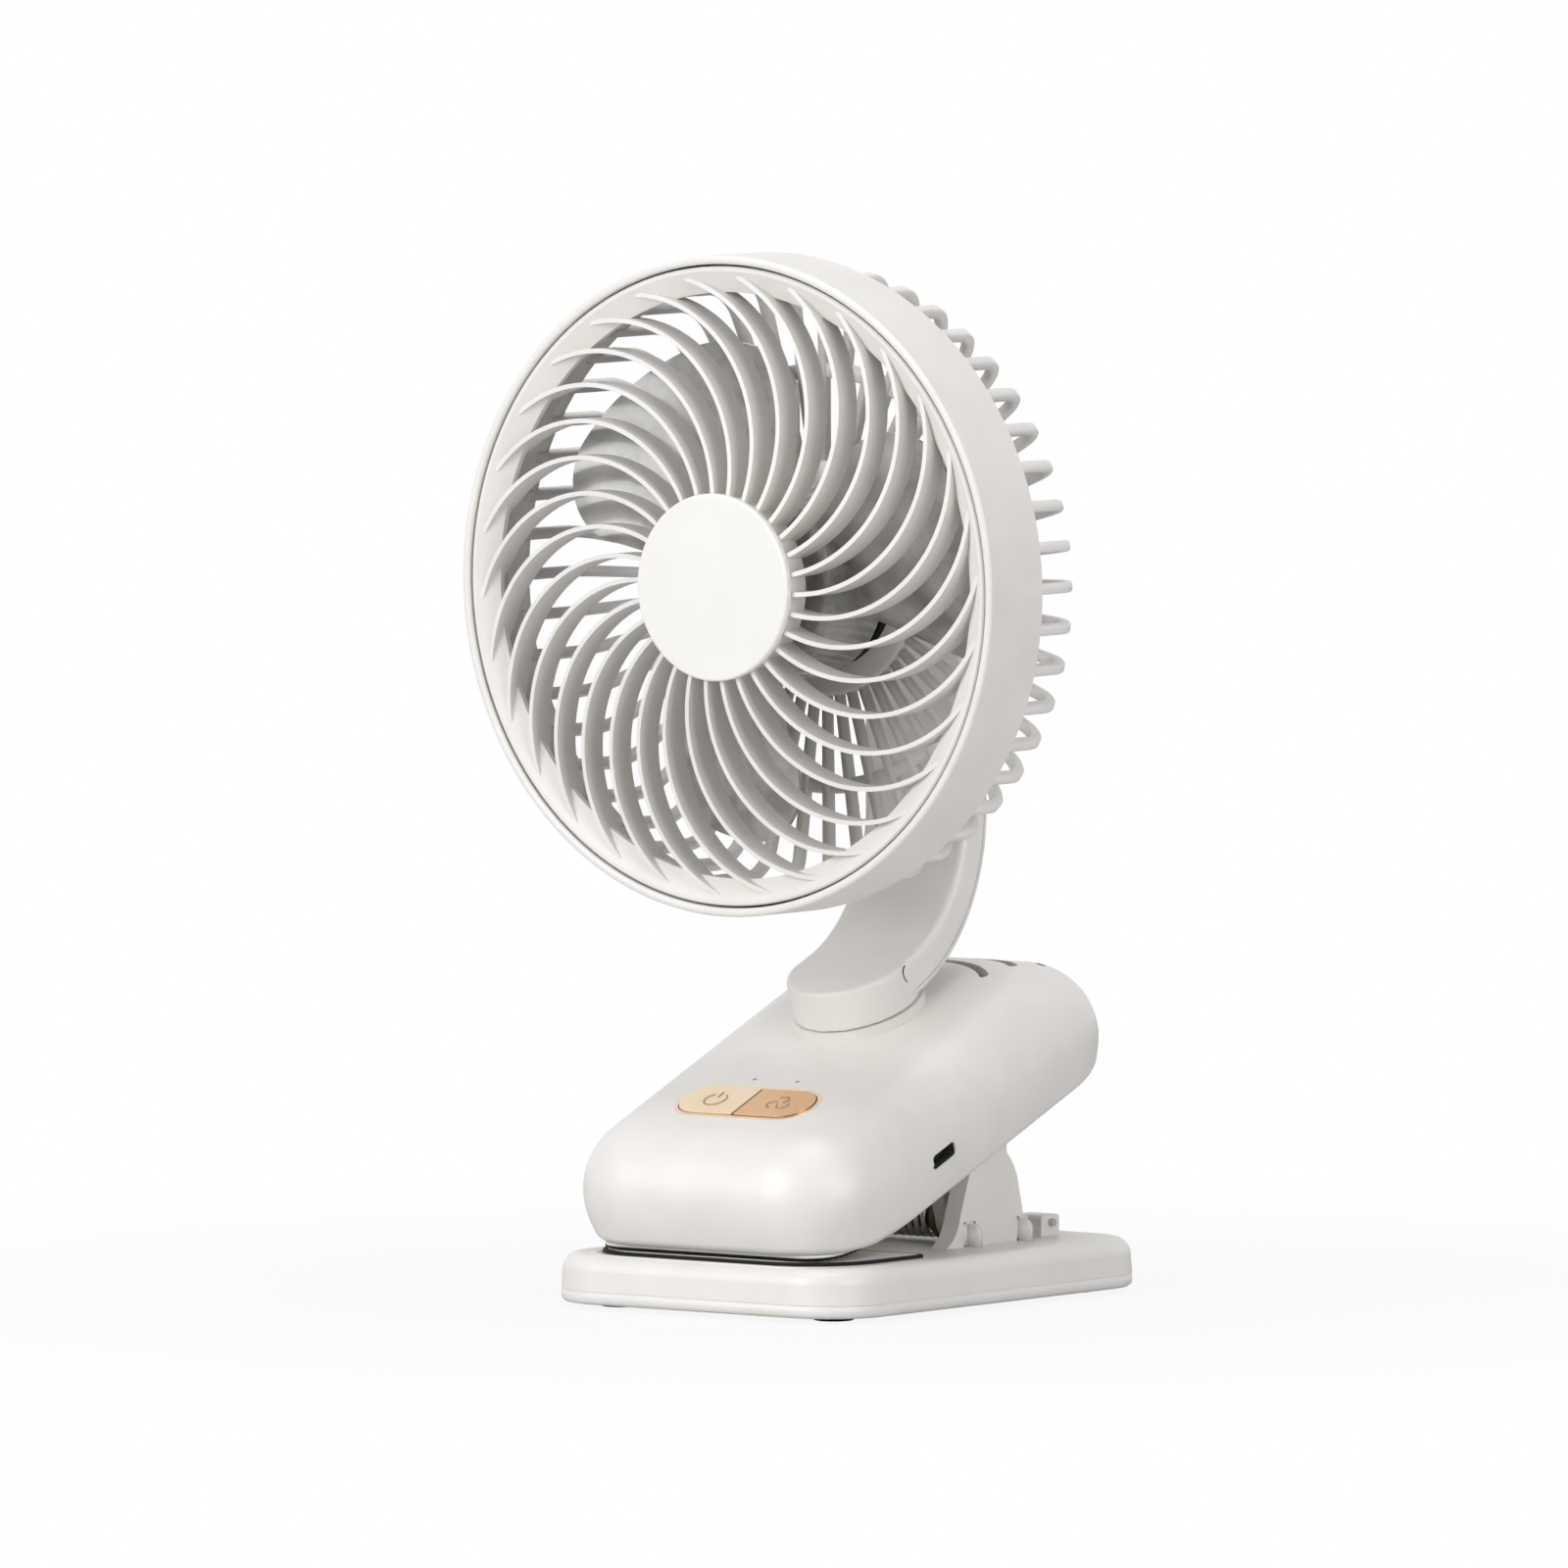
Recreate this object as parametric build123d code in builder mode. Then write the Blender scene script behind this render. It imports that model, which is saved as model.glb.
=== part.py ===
from build123d import *
import os
from math import acos, asin, cos, degrees, pi, radians, sin, sqrt, tan

# Clip fan. Millimetres. +Z is up, the fan blows towards -Y, the charging port is on the +X side.
# The origin is on the table, under the middle of the base.

# ---- head: grille, drum, cage ------------------------------------------------------------
head_z = 191.5              # height of the fan's axis
groove_y = -53.5            # plane of the thin groove between the grille and the drum's rim
head_depth = 46.0           # from that plane to the back of the cage
drum_outer_r = 87.0
drum_wall = 2.3
drum_depth = 22.0
rim_proud = 0.6             # the rim's front edge stands this far forward
seat_depth = 8.2            # where the drum's inner ledge carries the grille
seat_width = 3.2
seat_thick = 2.0
ring_groove = 0.6           # radial width of the groove round the grille
ring_wall = 1.7
funnel_width = 6.9          # light sloping collar that the vanes run into
funnel_drop = 3.5
vane_count = 30
vane_thick = 1.2
vane_sweep = 112.0          # each vane is one arc of so many degrees, leaving the boss radially
vane_end_gap = 2.5          # the vane's end lies this far inside the ring
vane_start_angle = -2.5
vane_depth = 8.6
cap_r = 24.7
cap_thick = 1.8
cap_front = 6.2             # the centre disc stands this far in front of the groove plane
cap_proud = 2.0             # the disc stands this far in front of the vanes' edges
boss_r = 24.0
boss_wall = 2.4
boss_depth = 7.4
rib_count = 48
rib_width = 2.5
rib_thick = 2.2
rib_set_in = 3.0            # the ribs stand this far inside the drum's outer face
rib_corner_r = 5.0
cage_ring_front = 12.0      # depth of the cage's root ring, which plugs into the drum
mid_ring_r = 55.0
mid_ring_width = 3.0
hub_r = 31.0
hub_thick = 4.0
grille_screw_count = 4

# ---- impeller and motor ------------------------------------------------------------------
blade_count = 3
blade_start_angle = 13.0    # seen from the front, counter-clockwise from +X
blade_tip_gap = 16.5        # from the blades' tips to the drum's inner face
blade_root_chord = 62.0
blade_mid_chord = 84.0
blade_tip_chord = 104.0
blade_half_angle = 35.0
blade_thick = 1.4
blade_corner_r = 17.0
blade_camber = 0.09         # sagitta of a blade's section over its chord
impeller_hub_r = 26.0
impeller_hub_front = 11.0
impeller_hub_rear = 35.0
impeller_mid = 24.0         # depth of the blades' middle
impeller_wall = 2.0
shaft_r = 1.5
shaft_gap = 0.03            # running clearance in the bearing
rotor_r = 20.0
rotor_wall = 1.6
rotor_front = 14.0
rotor_rear = 31.0
magnet_thick = 2.0
stator_r = 15.6
stator_front = 18.0
stator_rear = 29.0
bearing_r = 3.5
tube_r = 5.5                # bearing tube of the motor's base
motor_base_r = 24.0
motor_base_thick = 2.6

# ---- tilt joint --------------------------------------------------------------------------
pivot_back = 18.0           # the tilt axis lies this far behind the cage
knuckle_r = 9.0
knuckle_half = 6.95
knuckle_plate_thick = 3.0
tilt_pin_r = 2.5
pin_gap = 0.05
washer_thick = 1.0
washer_gap = 0.05
fork_r = 11.0
tilt_head_r = 5.0
tilt_head_thick = 2.4

# ---- arm and swivel ----------------------------------------------------------------------
arm_width = 34.0
arm_inner_r = 41.0          # the arm's C, seen from the side
arm_thick = 10.4
arm_centre_y = -11.4
arm_centre_z = 128.0
arm_top_r = 34.0            # mid radius of the bend over to the pivot
arm_cover_thick = 2.0
arm_channel_width = 20.0
arm_channel_depth = 5.0
arm_edge_r = 1.8
swivel_y = 4.5
swivel_z = 77.7
swivel_tilt = 22.5          # degrees, the swivel axis leans forward
swivel_disc_r = 17.0
swivel_gap = 0.3
collar_r = 17.8
collar_thick = 4.5
post_r = 7.0
post_bore_r = 4.2
post_gap = 0.06
post_top = 6.0
post_bottom = -12.0
retainer_r = 11.0
retainer_thick = 2.0

# ---- clip body ---------------------------------------------------------------------------
body_slope = 22.4           # degrees, both faces rise to the rear
body_under_z = 35.9         # height of the underside at y = 0
body_thick = 34.2
body_half_width = 47.2      # at the belt, before its edge is rounded
body_front_s = -69.0        # along the slope
body_rear_s = 79.6
body_front_corner = 24.0
body_rear_corner = 31.0
belt_n = 12.0               # the housing is widest at this height above its underside
belt_r = 30.0
upper_draft = 9.0           # degrees, the walls lean in above the belt
lower_draft = 20.0          # and tuck under below it
body_top_edge_r = 20.0
body_under_edge_r = 4.0
body_wall = 2.4
crown_y = 29.5              # from here the top bends over
crown_r = 37.0
crown_end = 35.0            # degrees, where the crown's arc leaves off behind the housing
jaw_z = 17.2                # lowest line of the nose
belly_r = 110.0             # the belly's arc, from the nose back into the slope
parting = 6.0               # height above the underside at which the screw bosses meet
cover_gap = 0.1             # between the lower cover and the housing's wall
vent_count = 3
vent_width = 2.4
vent_pitch = 8.5
vent_first_r = 34.0         # round the swivel
vent_half_width = 23.0
vent_widening = 3.5         # each further vent reaches this much wider
shell_screw_x = 34.0
shell_screw_front = -44.0   # along the slope
shell_screw_rear = 54.0
shell_boss_r = 3.4
shell_screw_r = 1.2
shell_screw_head_r = 2.2
shell_screw_head = 1.4
shell_screw_sink = 3.0
shell_screw_length = 9.0

# ---- keys, lights, port ------------------------------------------------------------------
key_s = -33.4               # middle of the two keys along the slope
key_length = 42.0
key_width = 15.0
key_split = 0.8
key_proud = 0.5
key_thick = 2.6
key_travel = 0.6
key_gap = 0.3
bezel_width = 1.0
bezel_proud = 0.15
bezel_thick = 1.2
stem_r = 1.6
switch_size = 6.0
switch_height = 3.1
board_n = 24.6              # underside of the control board above the body's underside
board_thick = 1.6
board_length = 60.0
board_width = 31.0
board_post_r = 2.2
light_s = -20.0
light_x = 7.0
light_r = 0.6
port_s = -15.7
port_n = 12.6
port_width = 9.0
port_height = 3.3
port_depth = 7.4
port_mouth_length = 10.2    # opening in the housing, wider than the socket
port_mouth_height = 3.9
port_mouth_r = 1.1
port_bevel = 0.5
port_wall = 0.35
port_seat_gap = 0.1
charge_board_length = 18.0
charge_board_width = 10.4
charge_board_thick = 1.2
charge_board_gap = 2.0      # from the board's edge to the widest inner face of the wall
battery_r = 9.2
battery_length = 65.0
battery_board_gap = 0.4     # from the cell to the charging board behind it
battery_n = 13.4
cradle_x = 22.0
cradle_thick = 2.0

# ---- base --------------------------------------------------------------------------------
base_half_width = 51.0
base_half_length = 70.0
base_corner_r = 18.0
base_top = 14.6
base_split = 5.0            # plane between the plate and its cover
base_shoulder_r = 4.6
base_draft = 4.0
base_wall = 2.4
cover_inset = 1.0
cover_bottom = 1.4
foot_r = 5.5
foot_recess = 0.8
foot_x = 35.0
foot_y = 53.0
screw_boss_r = 4.0
base_screw_r = 1.5
base_screw_head_r = 2.8
base_screw_sink = 2.2
base_screw_length = 6.0
pad_half_width = 42.0
pad_front = -67.0
pad_rear = -21.0
pad_corner_r = 14.0
pad_recess = 0.8
pad_top = 15.5
pad_gap = 0.3               # between the two pads when the jaw is shut
pad_rear_corner_r = 3.0
facing_inset = 1.2
facing_thick = 0.8
upper_pad_half_width = 38.0
upper_pad_front = -62.0
upper_pad_rear = -24.0
upper_pad_corner_r = 9.0

# ---- hinge of the clip -------------------------------------------------------------------
hinge_y = 22.5
hinge_z = 21.5
hinge_pin_r = 2.0
ear_inner_x = 25.8
ear_thick = 5.2
ear_boss_r = 5.0
lug_inner_x = 16.6
lug_thick = 4.4
lug_end_r = 6.2
lug_front_y = 9.0
lug_rear_y = 38.0
side_gap = 0.3
hinge_pin_end = 29.5        # where the pin ends inside the port-side ear
ear_top_r = 20.6            # round the pin, just under the body's underside
ear_toe = (1.0, 14.0)       # outline of an ear, seen from the side
ear_instep = (5.6, 17.2)
ear_shin = (8.3, 22.9)
ear_top_front = (14.2, 38.5)
ear_top_rear = (28.9, 40.9)
ear_notch = (28.9, 38.5)
ear_shoulder = (32.2, 34.6)
ear_back = (34.2, 29.5)
ear_heel = (38.2, 14.0)
pocket_places = (12.5, 36.0)
pocket_width = 5.0
pocket_height = 6.5
pocket_depth = 1.6
leg_slot_x = 12.6
leg_slot_y = 41.0
leg_slot_length = 11.0
leg_slot_width = 8.0
leg_slot_depth = 1.5
wire_r = 0.9
coil_r = 5.3                # mean radius
coil_half_length = 12.6
coil_turns = 10             # whole turns, before the last part turn to the leg
leg_angle = 50.0            # the upper leg rises at this angle
upper_leg_length = 35.2
bush_r = 3.6
bush_flange_r = 6.4
bush_flange_thick = 1.5
anchor_y = 51.6
anchor_z = 18.2
anchor_r = 1.0
anchor_half_length = 30.0
block_inner_x = 20.0
block_thick = 8.6
block_half_y = 4.0
block_height = 5.6

# ---- values that follow ------------------------------------------------------------------
slope_cos = cos(radians(body_slope))
slope_sin = sin(radians(body_slope))
cage_back_y = groove_y + head_depth
pivot_y = cage_back_y + pivot_back
pivot_z = head_z
drum_inner_r = drum_outer_r - drum_wall
grille_r = drum_inner_r - ring_groove
funnel_inner_r = grille_r - funnel_width
rib_outer_r = drum_outer_r - rib_set_in
blade_tip_r = drum_inner_r - blade_tip_gap
belt_sag = belt_r * (1 / cos(radians((upper_draft + lower_draft) / 2)) - 1)
body_side_x = body_half_width - belt_sag
cover_inset = body_wall + (belt_n - body_wall) * tan(radians(lower_draft))
arm_mid_r = arm_inner_r + arm_thick / 2
arm_outer_r = arm_inner_r + arm_thick
arm_top_y = arm_centre_y + arm_mid_r - arm_top_r
arm_top_z = pivot_z - sqrt(arm_top_r ** 2 - (pivot_y - arm_top_y) ** 2)
cover_joint_r = arm_outer_r - arm_cover_thick
charge_board_n = port_n - port_height / 2 - port_wall - charge_board_thick
battery_s = port_s - charge_board_width / 2 - battery_board_gap - battery_r
charge_board_x = body_side_x - body_wall - charge_board_gap - charge_board_length / 2
charge_post_places = [
    (charge_board_x - charge_board_length / 4, port_s),
    (charge_board_x + charge_board_length / 4, port_s),
]

head_axis = Axis((0, groove_y, head_z), (0, 1, 0))
head_side = Plane(origin=(0, groove_y, head_z), x_dir=(1, 0, 0), z_dir=(0, 0, 1))
tilt_axis = Axis((0, pivot_y, pivot_z), (1, 0, 0))
swivel_normal = (0, -sin(radians(swivel_tilt)), cos(radians(swivel_tilt)))
swivel_plane = Plane(origin=(0, swivel_y, swivel_z), x_dir=(1, 0, 0), z_dir=swivel_normal)
slope_plane = Plane(
    origin=(0, 0, body_under_z), x_dir=(1, 0, 0), z_dir=(0, -slope_sin, slope_cos)
)


def head_front(depth):
    """Plane across the fan's axis, facing forward, this far behind the groove."""
    return Plane(origin=(0, groove_y + depth, head_z), x_dir=(1, 0, 0), z_dir=(0, -1, 0))


def across(x):
    """Plane across the X axis; its sketches are drawn in (y, z)."""
    return Plane.YZ.offset(x)


def slope_point(s, n):
    """(y, z) of a point s along the body's slope and n above its underside."""
    return (s * slope_cos - n * slope_sin, body_under_z + s * slope_sin + n * slope_cos)


# ---- the head ----------------------------------------------------------------------------
def make_front_grille():
    """Thirty swirl vanes between a centre boss and a light funnel ring, in one moulding."""
    vane_front = cap_proud - cap_front
    root = boss_r - 1
    end_r = grille_r - vane_end_gap
    bend = radians(vane_sweep)
    a = 2 - 2 * cos(bend)
    b = 2 * root * sin(bend)
    vane_r = (sqrt(b ** 2 + 4 * a * (end_r ** 2 - root ** 2)) - b) / (2 * a)
    with BuildSketch() as vane:
        with BuildLine():
            outside = CenterArc((root, vane_r), vane_r + vane_thick / 2, -90, vane_sweep)
            inside = CenterArc((root, vane_r), vane_r - vane_thick / 2, -90, vane_sweep)
            Line(outside @ 0, inside @ 0)
            Line(outside @ 1, inside @ 1)
        make_face()
    with BuildPart() as grille:
        with BuildSketch(head_front(vane_depth + funnel_drop)):
            with PolarLocations(0, vane_count, start_angle=vane_start_angle):
                add(vane.sketch_local)
        extrude(amount=vane_depth + funnel_drop + cap_front)
        with BuildSketch(head_side):
            with BuildLine():
                Polyline(
                    (boss_r - boss_wall / 2, vane_front),
                    (grille_r - 0.5, 1.0),
                    (grille_r - 0.5, vane_depth / 2),
                    (funnel_inner_r, vane_depth - 0.4),
                    (boss_r - boss_wall / 2, vane_front + vane_depth),
                    close=True,
                )
            make_face()
        revolve(axis=head_axis, mode=Mode.INTERSECT)
        with BuildSketch(head_side):
            with BuildLine():
                Polyline(
                    (grille_r - 0.4, 0),
                    (grille_r, 0.4),
                    (grille_r, seat_depth),
                    (grille_r - ring_wall, seat_depth),
                    (grille_r - ring_wall, funnel_drop),
                    (funnel_inner_r, funnel_drop + ring_wall),
                    (funnel_inner_r, funnel_drop),
                    (grille_r - ring_wall + 0.5, 0),
                    close=True,
                )
            make_face()
            with BuildLine():
                Polyline(
                    (0, cap_thick - cap_front),
                    (boss_r, cap_thick - cap_front),
                    (boss_r, cap_thick - cap_front + boss_depth),
                    (boss_r - boss_wall, cap_thick - cap_front + boss_depth),
                    (boss_r - boss_wall, 2 * cap_thick - cap_front),
                    (0, 2 * cap_thick - cap_front),
                    close=True,
                )
            make_face()
        revolve(axis=head_axis)
    return grille


def make_grille_cap():
    """Plain centre disc over the boss, with a rounded edge."""
    with BuildPart() as cap:
        with BuildSketch(head_front(cap_thick - cap_front)):
            Circle(cap_r)
        extrude(amount=cap_thick)
        fillet(cap.faces().sort_by(Axis.Y)[0].edges(), radius=0.7)
    return cap


def make_drum_ring():
    """Smooth outer band with a rounded rim and an inner ledge that carries the grille."""
    inner_r = drum_inner_r
    with BuildPart() as drum:
        with BuildSketch(head_side) as section:
            with BuildLine():
                Polyline(
                    (inner_r, -rim_proud),
                    (drum_outer_r, -rim_proud),
                    (drum_outer_r, drum_depth),
                    (inner_r, drum_depth),
                    (inner_r, seat_depth + seat_thick),
                    (inner_r - seat_width, seat_depth + seat_thick),
                    (inner_r - seat_width, seat_depth),
                    (inner_r, seat_depth),
                    close=True,
                )
            make_face()
            rim = section.vertices().group_by(Axis.Y)[0]
            fillet(rim, radius=drum_wall * 0.4)
        revolve(axis=head_axis)
    return drum


def make_rear_grille():
    """Cage of hooked ribs: root ring in the drum, mid ring and hub plate across the back."""
    root_outer = drum_inner_r
    with BuildPart() as cage:
        with BuildSketch(head_side) as rib:
            with BuildLine():
                Polyline(
                    (rib_outer_r, drum_depth - 2),
                    (rib_outer_r, head_depth),
                    (hub_r - 2, head_depth),
                    (hub_r - 2, head_depth - rib_thick),
                    (rib_outer_r - rib_thick, head_depth - rib_thick),
                    (rib_outer_r - rib_thick, drum_depth - 2),
                    close=True,
                )
            make_face()
            bend = rib.vertices().group_by(Axis.X)[-1].sort_by(Axis.Y)[-1]
            fillet(bend, radius=rib_corner_r)
            inner_bend = rib.vertices().sort_by_distance(
                (rib_outer_r - rib_thick, head_depth - rib_thick, 0)
            )[0]
            fillet(inner_bend, radius=rib_corner_r - rib_thick)
        revolve(axis=head_axis)
        with BuildSketch(head_front(0)):
            with PolarLocations((hub_r - 3 + drum_outer_r) / 2, rib_count):
                Rectangle(drum_outer_r - hub_r + 3, rib_width)
        extrude(amount=-head_depth - 1, mode=Mode.INTERSECT)
        with BuildSketch(head_side):
            with BuildLine():
                Polyline(
                    (root_outer, cage_ring_front),
                    (root_outer, drum_depth),
                    (rib_outer_r - rib_thick, drum_depth),
                    (rib_outer_r - rib_thick, cage_ring_front),
                    close=True,
                )
            make_face()
            with BuildLine():
                Polyline(
                    (mid_ring_r - mid_ring_width / 2, head_depth - rib_thick),
                    (mid_ring_r + mid_ring_width / 2, head_depth - rib_thick),
                    (mid_ring_r + mid_ring_width / 2, head_depth),
                    (mid_ring_r - mid_ring_width / 2, head_depth),
                    close=True,
                )
            make_face()
            with BuildLine():
                Polyline(
                    (0, head_depth - hub_thick),
                    (hub_r, head_depth - hub_thick),
                    (hub_r, head_depth),
                    (0, head_depth),
                    close=True,
                )
            make_face()
        revolve(axis=head_axis)
        with BuildSketch(head_front(head_depth)):
            with PolarLocations(motor_base_r - 5, 3, start_angle=90):
                Circle(1.2)
        extrude(amount=hub_thick, mode=Mode.SUBTRACT)
    return cage


def make_grille_screws():
    """Four small screws that pull the cage into the drum, heads in the drum's ledge."""
    with BuildPart(head_front(seat_depth + seat_thick)) as screws:
        with PolarLocations(drum_inner_r - seat_width / 2, grille_screw_count, 45):
            Cylinder(
                1.0,
                cage_ring_front - seat_depth - seat_thick,
                align=(Align.CENTER, Align.CENTER, Align.MAX),
            )
    return screws


def make_motor_base():
    """Motor's mounting plate with the bearing tube standing on it."""
    plate_rear = head_depth - hub_thick
    with BuildPart() as base:
        with BuildSketch(head_side):
            with BuildLine():
                Polyline(
                    (bearing_r, stator_front - 1),
                    (tube_r, stator_front - 1),
                    (tube_r, plate_rear - motor_base_thick),
                    (motor_base_r, plate_rear - motor_base_thick),
                    (motor_base_r, plate_rear),
                    (bearing_r, plate_rear),
                    close=True,
                )
            make_face()
        revolve(axis=head_axis)
        with BuildSketch(head_front(plate_rear)):
            with PolarLocations(motor_base_r - 5, 3, start_angle=90):
                Circle(1.6)
        extrude(amount=motor_base_thick, mode=Mode.SUBTRACT)
    return base


def make_motor_screws():
    """Three screws through the motor's plate into the hub of the cage."""
    with BuildPart(head_front(head_depth - hub_thick - motor_base_thick)) as screws:
        with PolarLocations(motor_base_r - 5, 3, start_angle=90):
            Cylinder(2.8, 1.4, align=(Align.CENTER, Align.CENTER, Align.MIN))
            Cylinder(
                1.2, motor_base_thick + hub_thick - 1,
                align=(Align.CENTER, Align.CENTER, Align.MAX),
            )
    return screws


def make_stator():
    """Laminated stator with nine wound poles round the bearing tube."""
    with BuildPart() as stator:
        with BuildSketch(head_front(stator_rear)):
            Circle(8.0)
            with PolarLocations(10.5, 9):
                Rectangle(7.5, 2.6)
            with PolarLocations(stator_r - 1.2, 9):
                Rectangle(2.2, 8.0)
            Circle(tube_r, mode=Mode.SUBTRACT)
        extrude(amount=stator_rear - stator_front)
    return stator


def make_windings():
    """Copper coils, one on each pole."""
    with BuildPart() as coils:
        with BuildSketch(head_front(stator_rear + 1)):
            with PolarLocations(11.0, 9):
                Rectangle(4.4, 4.6)
                Rectangle(4.4, 2.6, mode=Mode.SUBTRACT)
        extrude(amount=stator_rear - stator_front + 2)
    return coils


def make_bearing():
    """Sintered bush in the tube."""
    with BuildPart() as bearing:
        with BuildSketch(head_front(head_depth - hub_thick)):
            Circle(bearing_r)
            Circle(shaft_r + shaft_gap, mode=Mode.SUBTRACT)
        extrude(amount=head_depth - hub_thick - stator_front)
    return bearing


# ---- the impeller ------------------------------------------------------------------------
def make_shaft():
    """Motor shaft, pressed into the rotor and the impeller."""
    with BuildPart() as shaft:
        with BuildSketch(head_front(head_depth - hub_thick - 1)):
            Circle(shaft_r)
        extrude(amount=head_depth - hub_thick - 1 - impeller_hub_front - impeller_wall)
    return shaft


def make_rotor_can():
    """Steel cup that carries the magnets and turns round the stator."""
    with BuildPart() as can:
        with BuildSketch(head_side):
            with BuildLine():
                Polyline(
                    (shaft_r, rotor_front),
                    (rotor_r, rotor_front),
                    (rotor_r, rotor_rear),
                    (rotor_r - rotor_wall, rotor_rear),
                    (rotor_r - rotor_wall, rotor_front + rotor_wall),
                    (shaft_r, rotor_front + rotor_wall),
                    close=True,
                )
            make_face()
        revolve(axis=head_axis)
    return can


def make_magnet_ring():
    """Ring magnet inside the can."""
    with BuildPart() as magnet:
        with BuildSketch(head_front(rotor_rear - 1)):
            Circle(rotor_r - rotor_wall)
            Circle(rotor_r - rotor_wall - magnet_thick, mode=Mode.SUBTRACT)
        extrude(amount=rotor_rear - rotor_front - rotor_wall - 2)
    return magnet


def blade_section(radius, chord, pitch, camber=blade_camber):
    """One curved section of a blade, on a plane across the blade's own radius."""
    turn = radians(pitch)
    plane = Plane(
        origin=(radius, 0, 0), x_dir=(0, cos(turn), sin(turn)), z_dir=(1, 0, 0)
    )
    rise = camber * chord
    with BuildSketch(plane) as section:
        with BuildLine():
            ThreePointArc((-chord / 2, -rise / 2), (0, rise / 2), (chord / 2, -rise / 2))
            ThreePointArc(
                (-chord / 2, -rise / 2 - blade_thick),
                (0, rise / 2 - blade_thick),
                (chord / 2, -rise / 2 - blade_thick),
            )
            Line((-chord / 2, -rise / 2), (-chord / 2, -rise / 2 - blade_thick))
            Line((chord / 2, -rise / 2), (chord / 2, -rise / 2 - blade_thick))
        make_face()
    return section


def make_impeller():
    """Hub cup with three wide cambered blades, moulded as one."""
    sections = [
        blade_section(impeller_hub_r - 8, blade_root_chord, 40),
        blade_section((impeller_hub_r + blade_tip_r) / 2, blade_mid_chord, 24),
        blade_section(blade_tip_r + 4, blade_tip_chord, 16),
    ]
    root_r = impeller_hub_r - impeller_wall / 2
    side = radians(blade_half_angle)
    with BuildPart() as blade:
        for section in sections:
            add(section.sketch)
        loft(ruled=True)
        with BuildSketch(Plane.XY.offset(-30)) as petal:
            with BuildLine():
                root_a = (root_r * cos(side), -root_r * sin(side))
                root_b = (root_r * cos(side), root_r * sin(side))
                tip_a = (blade_tip_r * cos(side), -blade_tip_r * sin(side))
                tip_b = (blade_tip_r * cos(side), blade_tip_r * sin(side))
                Line(root_a, tip_a)
                ThreePointArc(tip_a, (blade_tip_r, 0), tip_b)
                Line(tip_b, root_b)
                ThreePointArc(root_b, (root_r, 0), root_a)
            make_face()
            fillet(petal.vertices().group_by(Axis.X)[-1], radius=blade_corner_r)
        extrude(amount=60, mode=Mode.INTERSECT)
    with BuildPart(head_front(impeller_mid)) as impeller:
        with PolarLocations(0, blade_count, start_angle=blade_start_angle):
            add(blade.part)
        with BuildSketch(head_side) as cup:
            with BuildLine():
                Polyline(
                    (shaft_r, impeller_hub_front),
                    (impeller_hub_r, impeller_hub_front),
                    (impeller_hub_r, impeller_hub_rear),
                    (impeller_hub_r - impeller_wall, impeller_hub_rear),
                    (impeller_hub_r - impeller_wall, impeller_hub_front + impeller_wall),
                    (shaft_r + 2.5, impeller_hub_front + impeller_wall),
                    (shaft_r + 2.5, rotor_front),
                    (shaft_r, rotor_front),
                    close=True,
                )
            make_face()
            nose = cup.vertices().sort_by_distance(
                (impeller_hub_r, impeller_hub_front, 0)
            )[0]
            fillet(nose, radius=3)
        revolve(axis=head_axis)
    return impeller


# ---- the tilt joint ----------------------------------------------------------------------
def make_tilt_knuckle():
    """Bracket on the back of the cage: a plate and one lug round the tilt pin."""
    with BuildPart() as knuckle:
        with BuildSketch(head_front(head_depth)):
            RectangleRounded(26, 34, 6)
        extrude(amount=-knuckle_plate_thick)
        with BuildSketch(across(0)):
            with Locations((pivot_y, pivot_z)):
                Circle(knuckle_r)
            with Locations(((cage_back_y + pivot_y) / 2, pivot_z)):
                Rectangle(pivot_back, 2 * knuckle_r)
        extrude(amount=knuckle_half, both=True)
        with BuildSketch(across(0)):
            with Locations((pivot_y, pivot_z)):
                Circle(tilt_pin_r + pin_gap)
        extrude(amount=knuckle_half, both=True, mode=Mode.SUBTRACT)
    return knuckle


def make_tilt_washers():
    """Friction washers on both sides of the knuckle."""
    with BuildPart() as washers:
        for side in (-1, 1):
            with BuildSketch(across(side * (knuckle_half + washer_gap))):
                with Locations((pivot_y, pivot_z)):
                    Circle(7.5)
                    Circle(tilt_pin_r, mode=Mode.SUBTRACT)
            extrude(amount=side * washer_thick)
    return washers


def make_tilt_pin():
    """Headed pin across the fork; the nut on its far end sets the friction."""
    half = arm_width / 2 - 1
    with BuildPart() as pin:
        with BuildSketch(across(-half + tilt_head_thick)):
            with Locations((pivot_y, pivot_z)):
                Circle(tilt_pin_r)
        extrude(amount=2 * half - tilt_head_thick)
        with BuildSketch(across(half - tilt_head_thick)):
            with Locations((pivot_y, pivot_z)):
                Circle(tilt_head_r)
        extrude(amount=tilt_head_thick)
    return pin


def make_tilt_nut():
    """Hexagonal nut let into the other cheek."""
    half = arm_width / 2 - 1
    with BuildPart() as nut:
        with BuildSketch(across(-half)):
            with Locations((pivot_y, pivot_z)):
                RegularPolygon(tilt_head_r, 6)
                Circle(tilt_pin_r, mode=Mode.SUBTRACT)
        extrude(amount=tilt_head_thick + 1)
    return nut


# ---- the arm -----------------------------------------------------------------------------
def axis_hit(radius):
    """Height along the swivel axis at which it crosses the arm's C of this radius."""
    dy = swivel_y - arm_centre_y
    dz = swivel_z - arm_centre_z
    b = dy * swivel_normal[1] + dz * swivel_normal[2]
    c = dy ** 2 + dz ** 2 - radius ** 2
    return -b - sqrt(b ** 2 - c)


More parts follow.
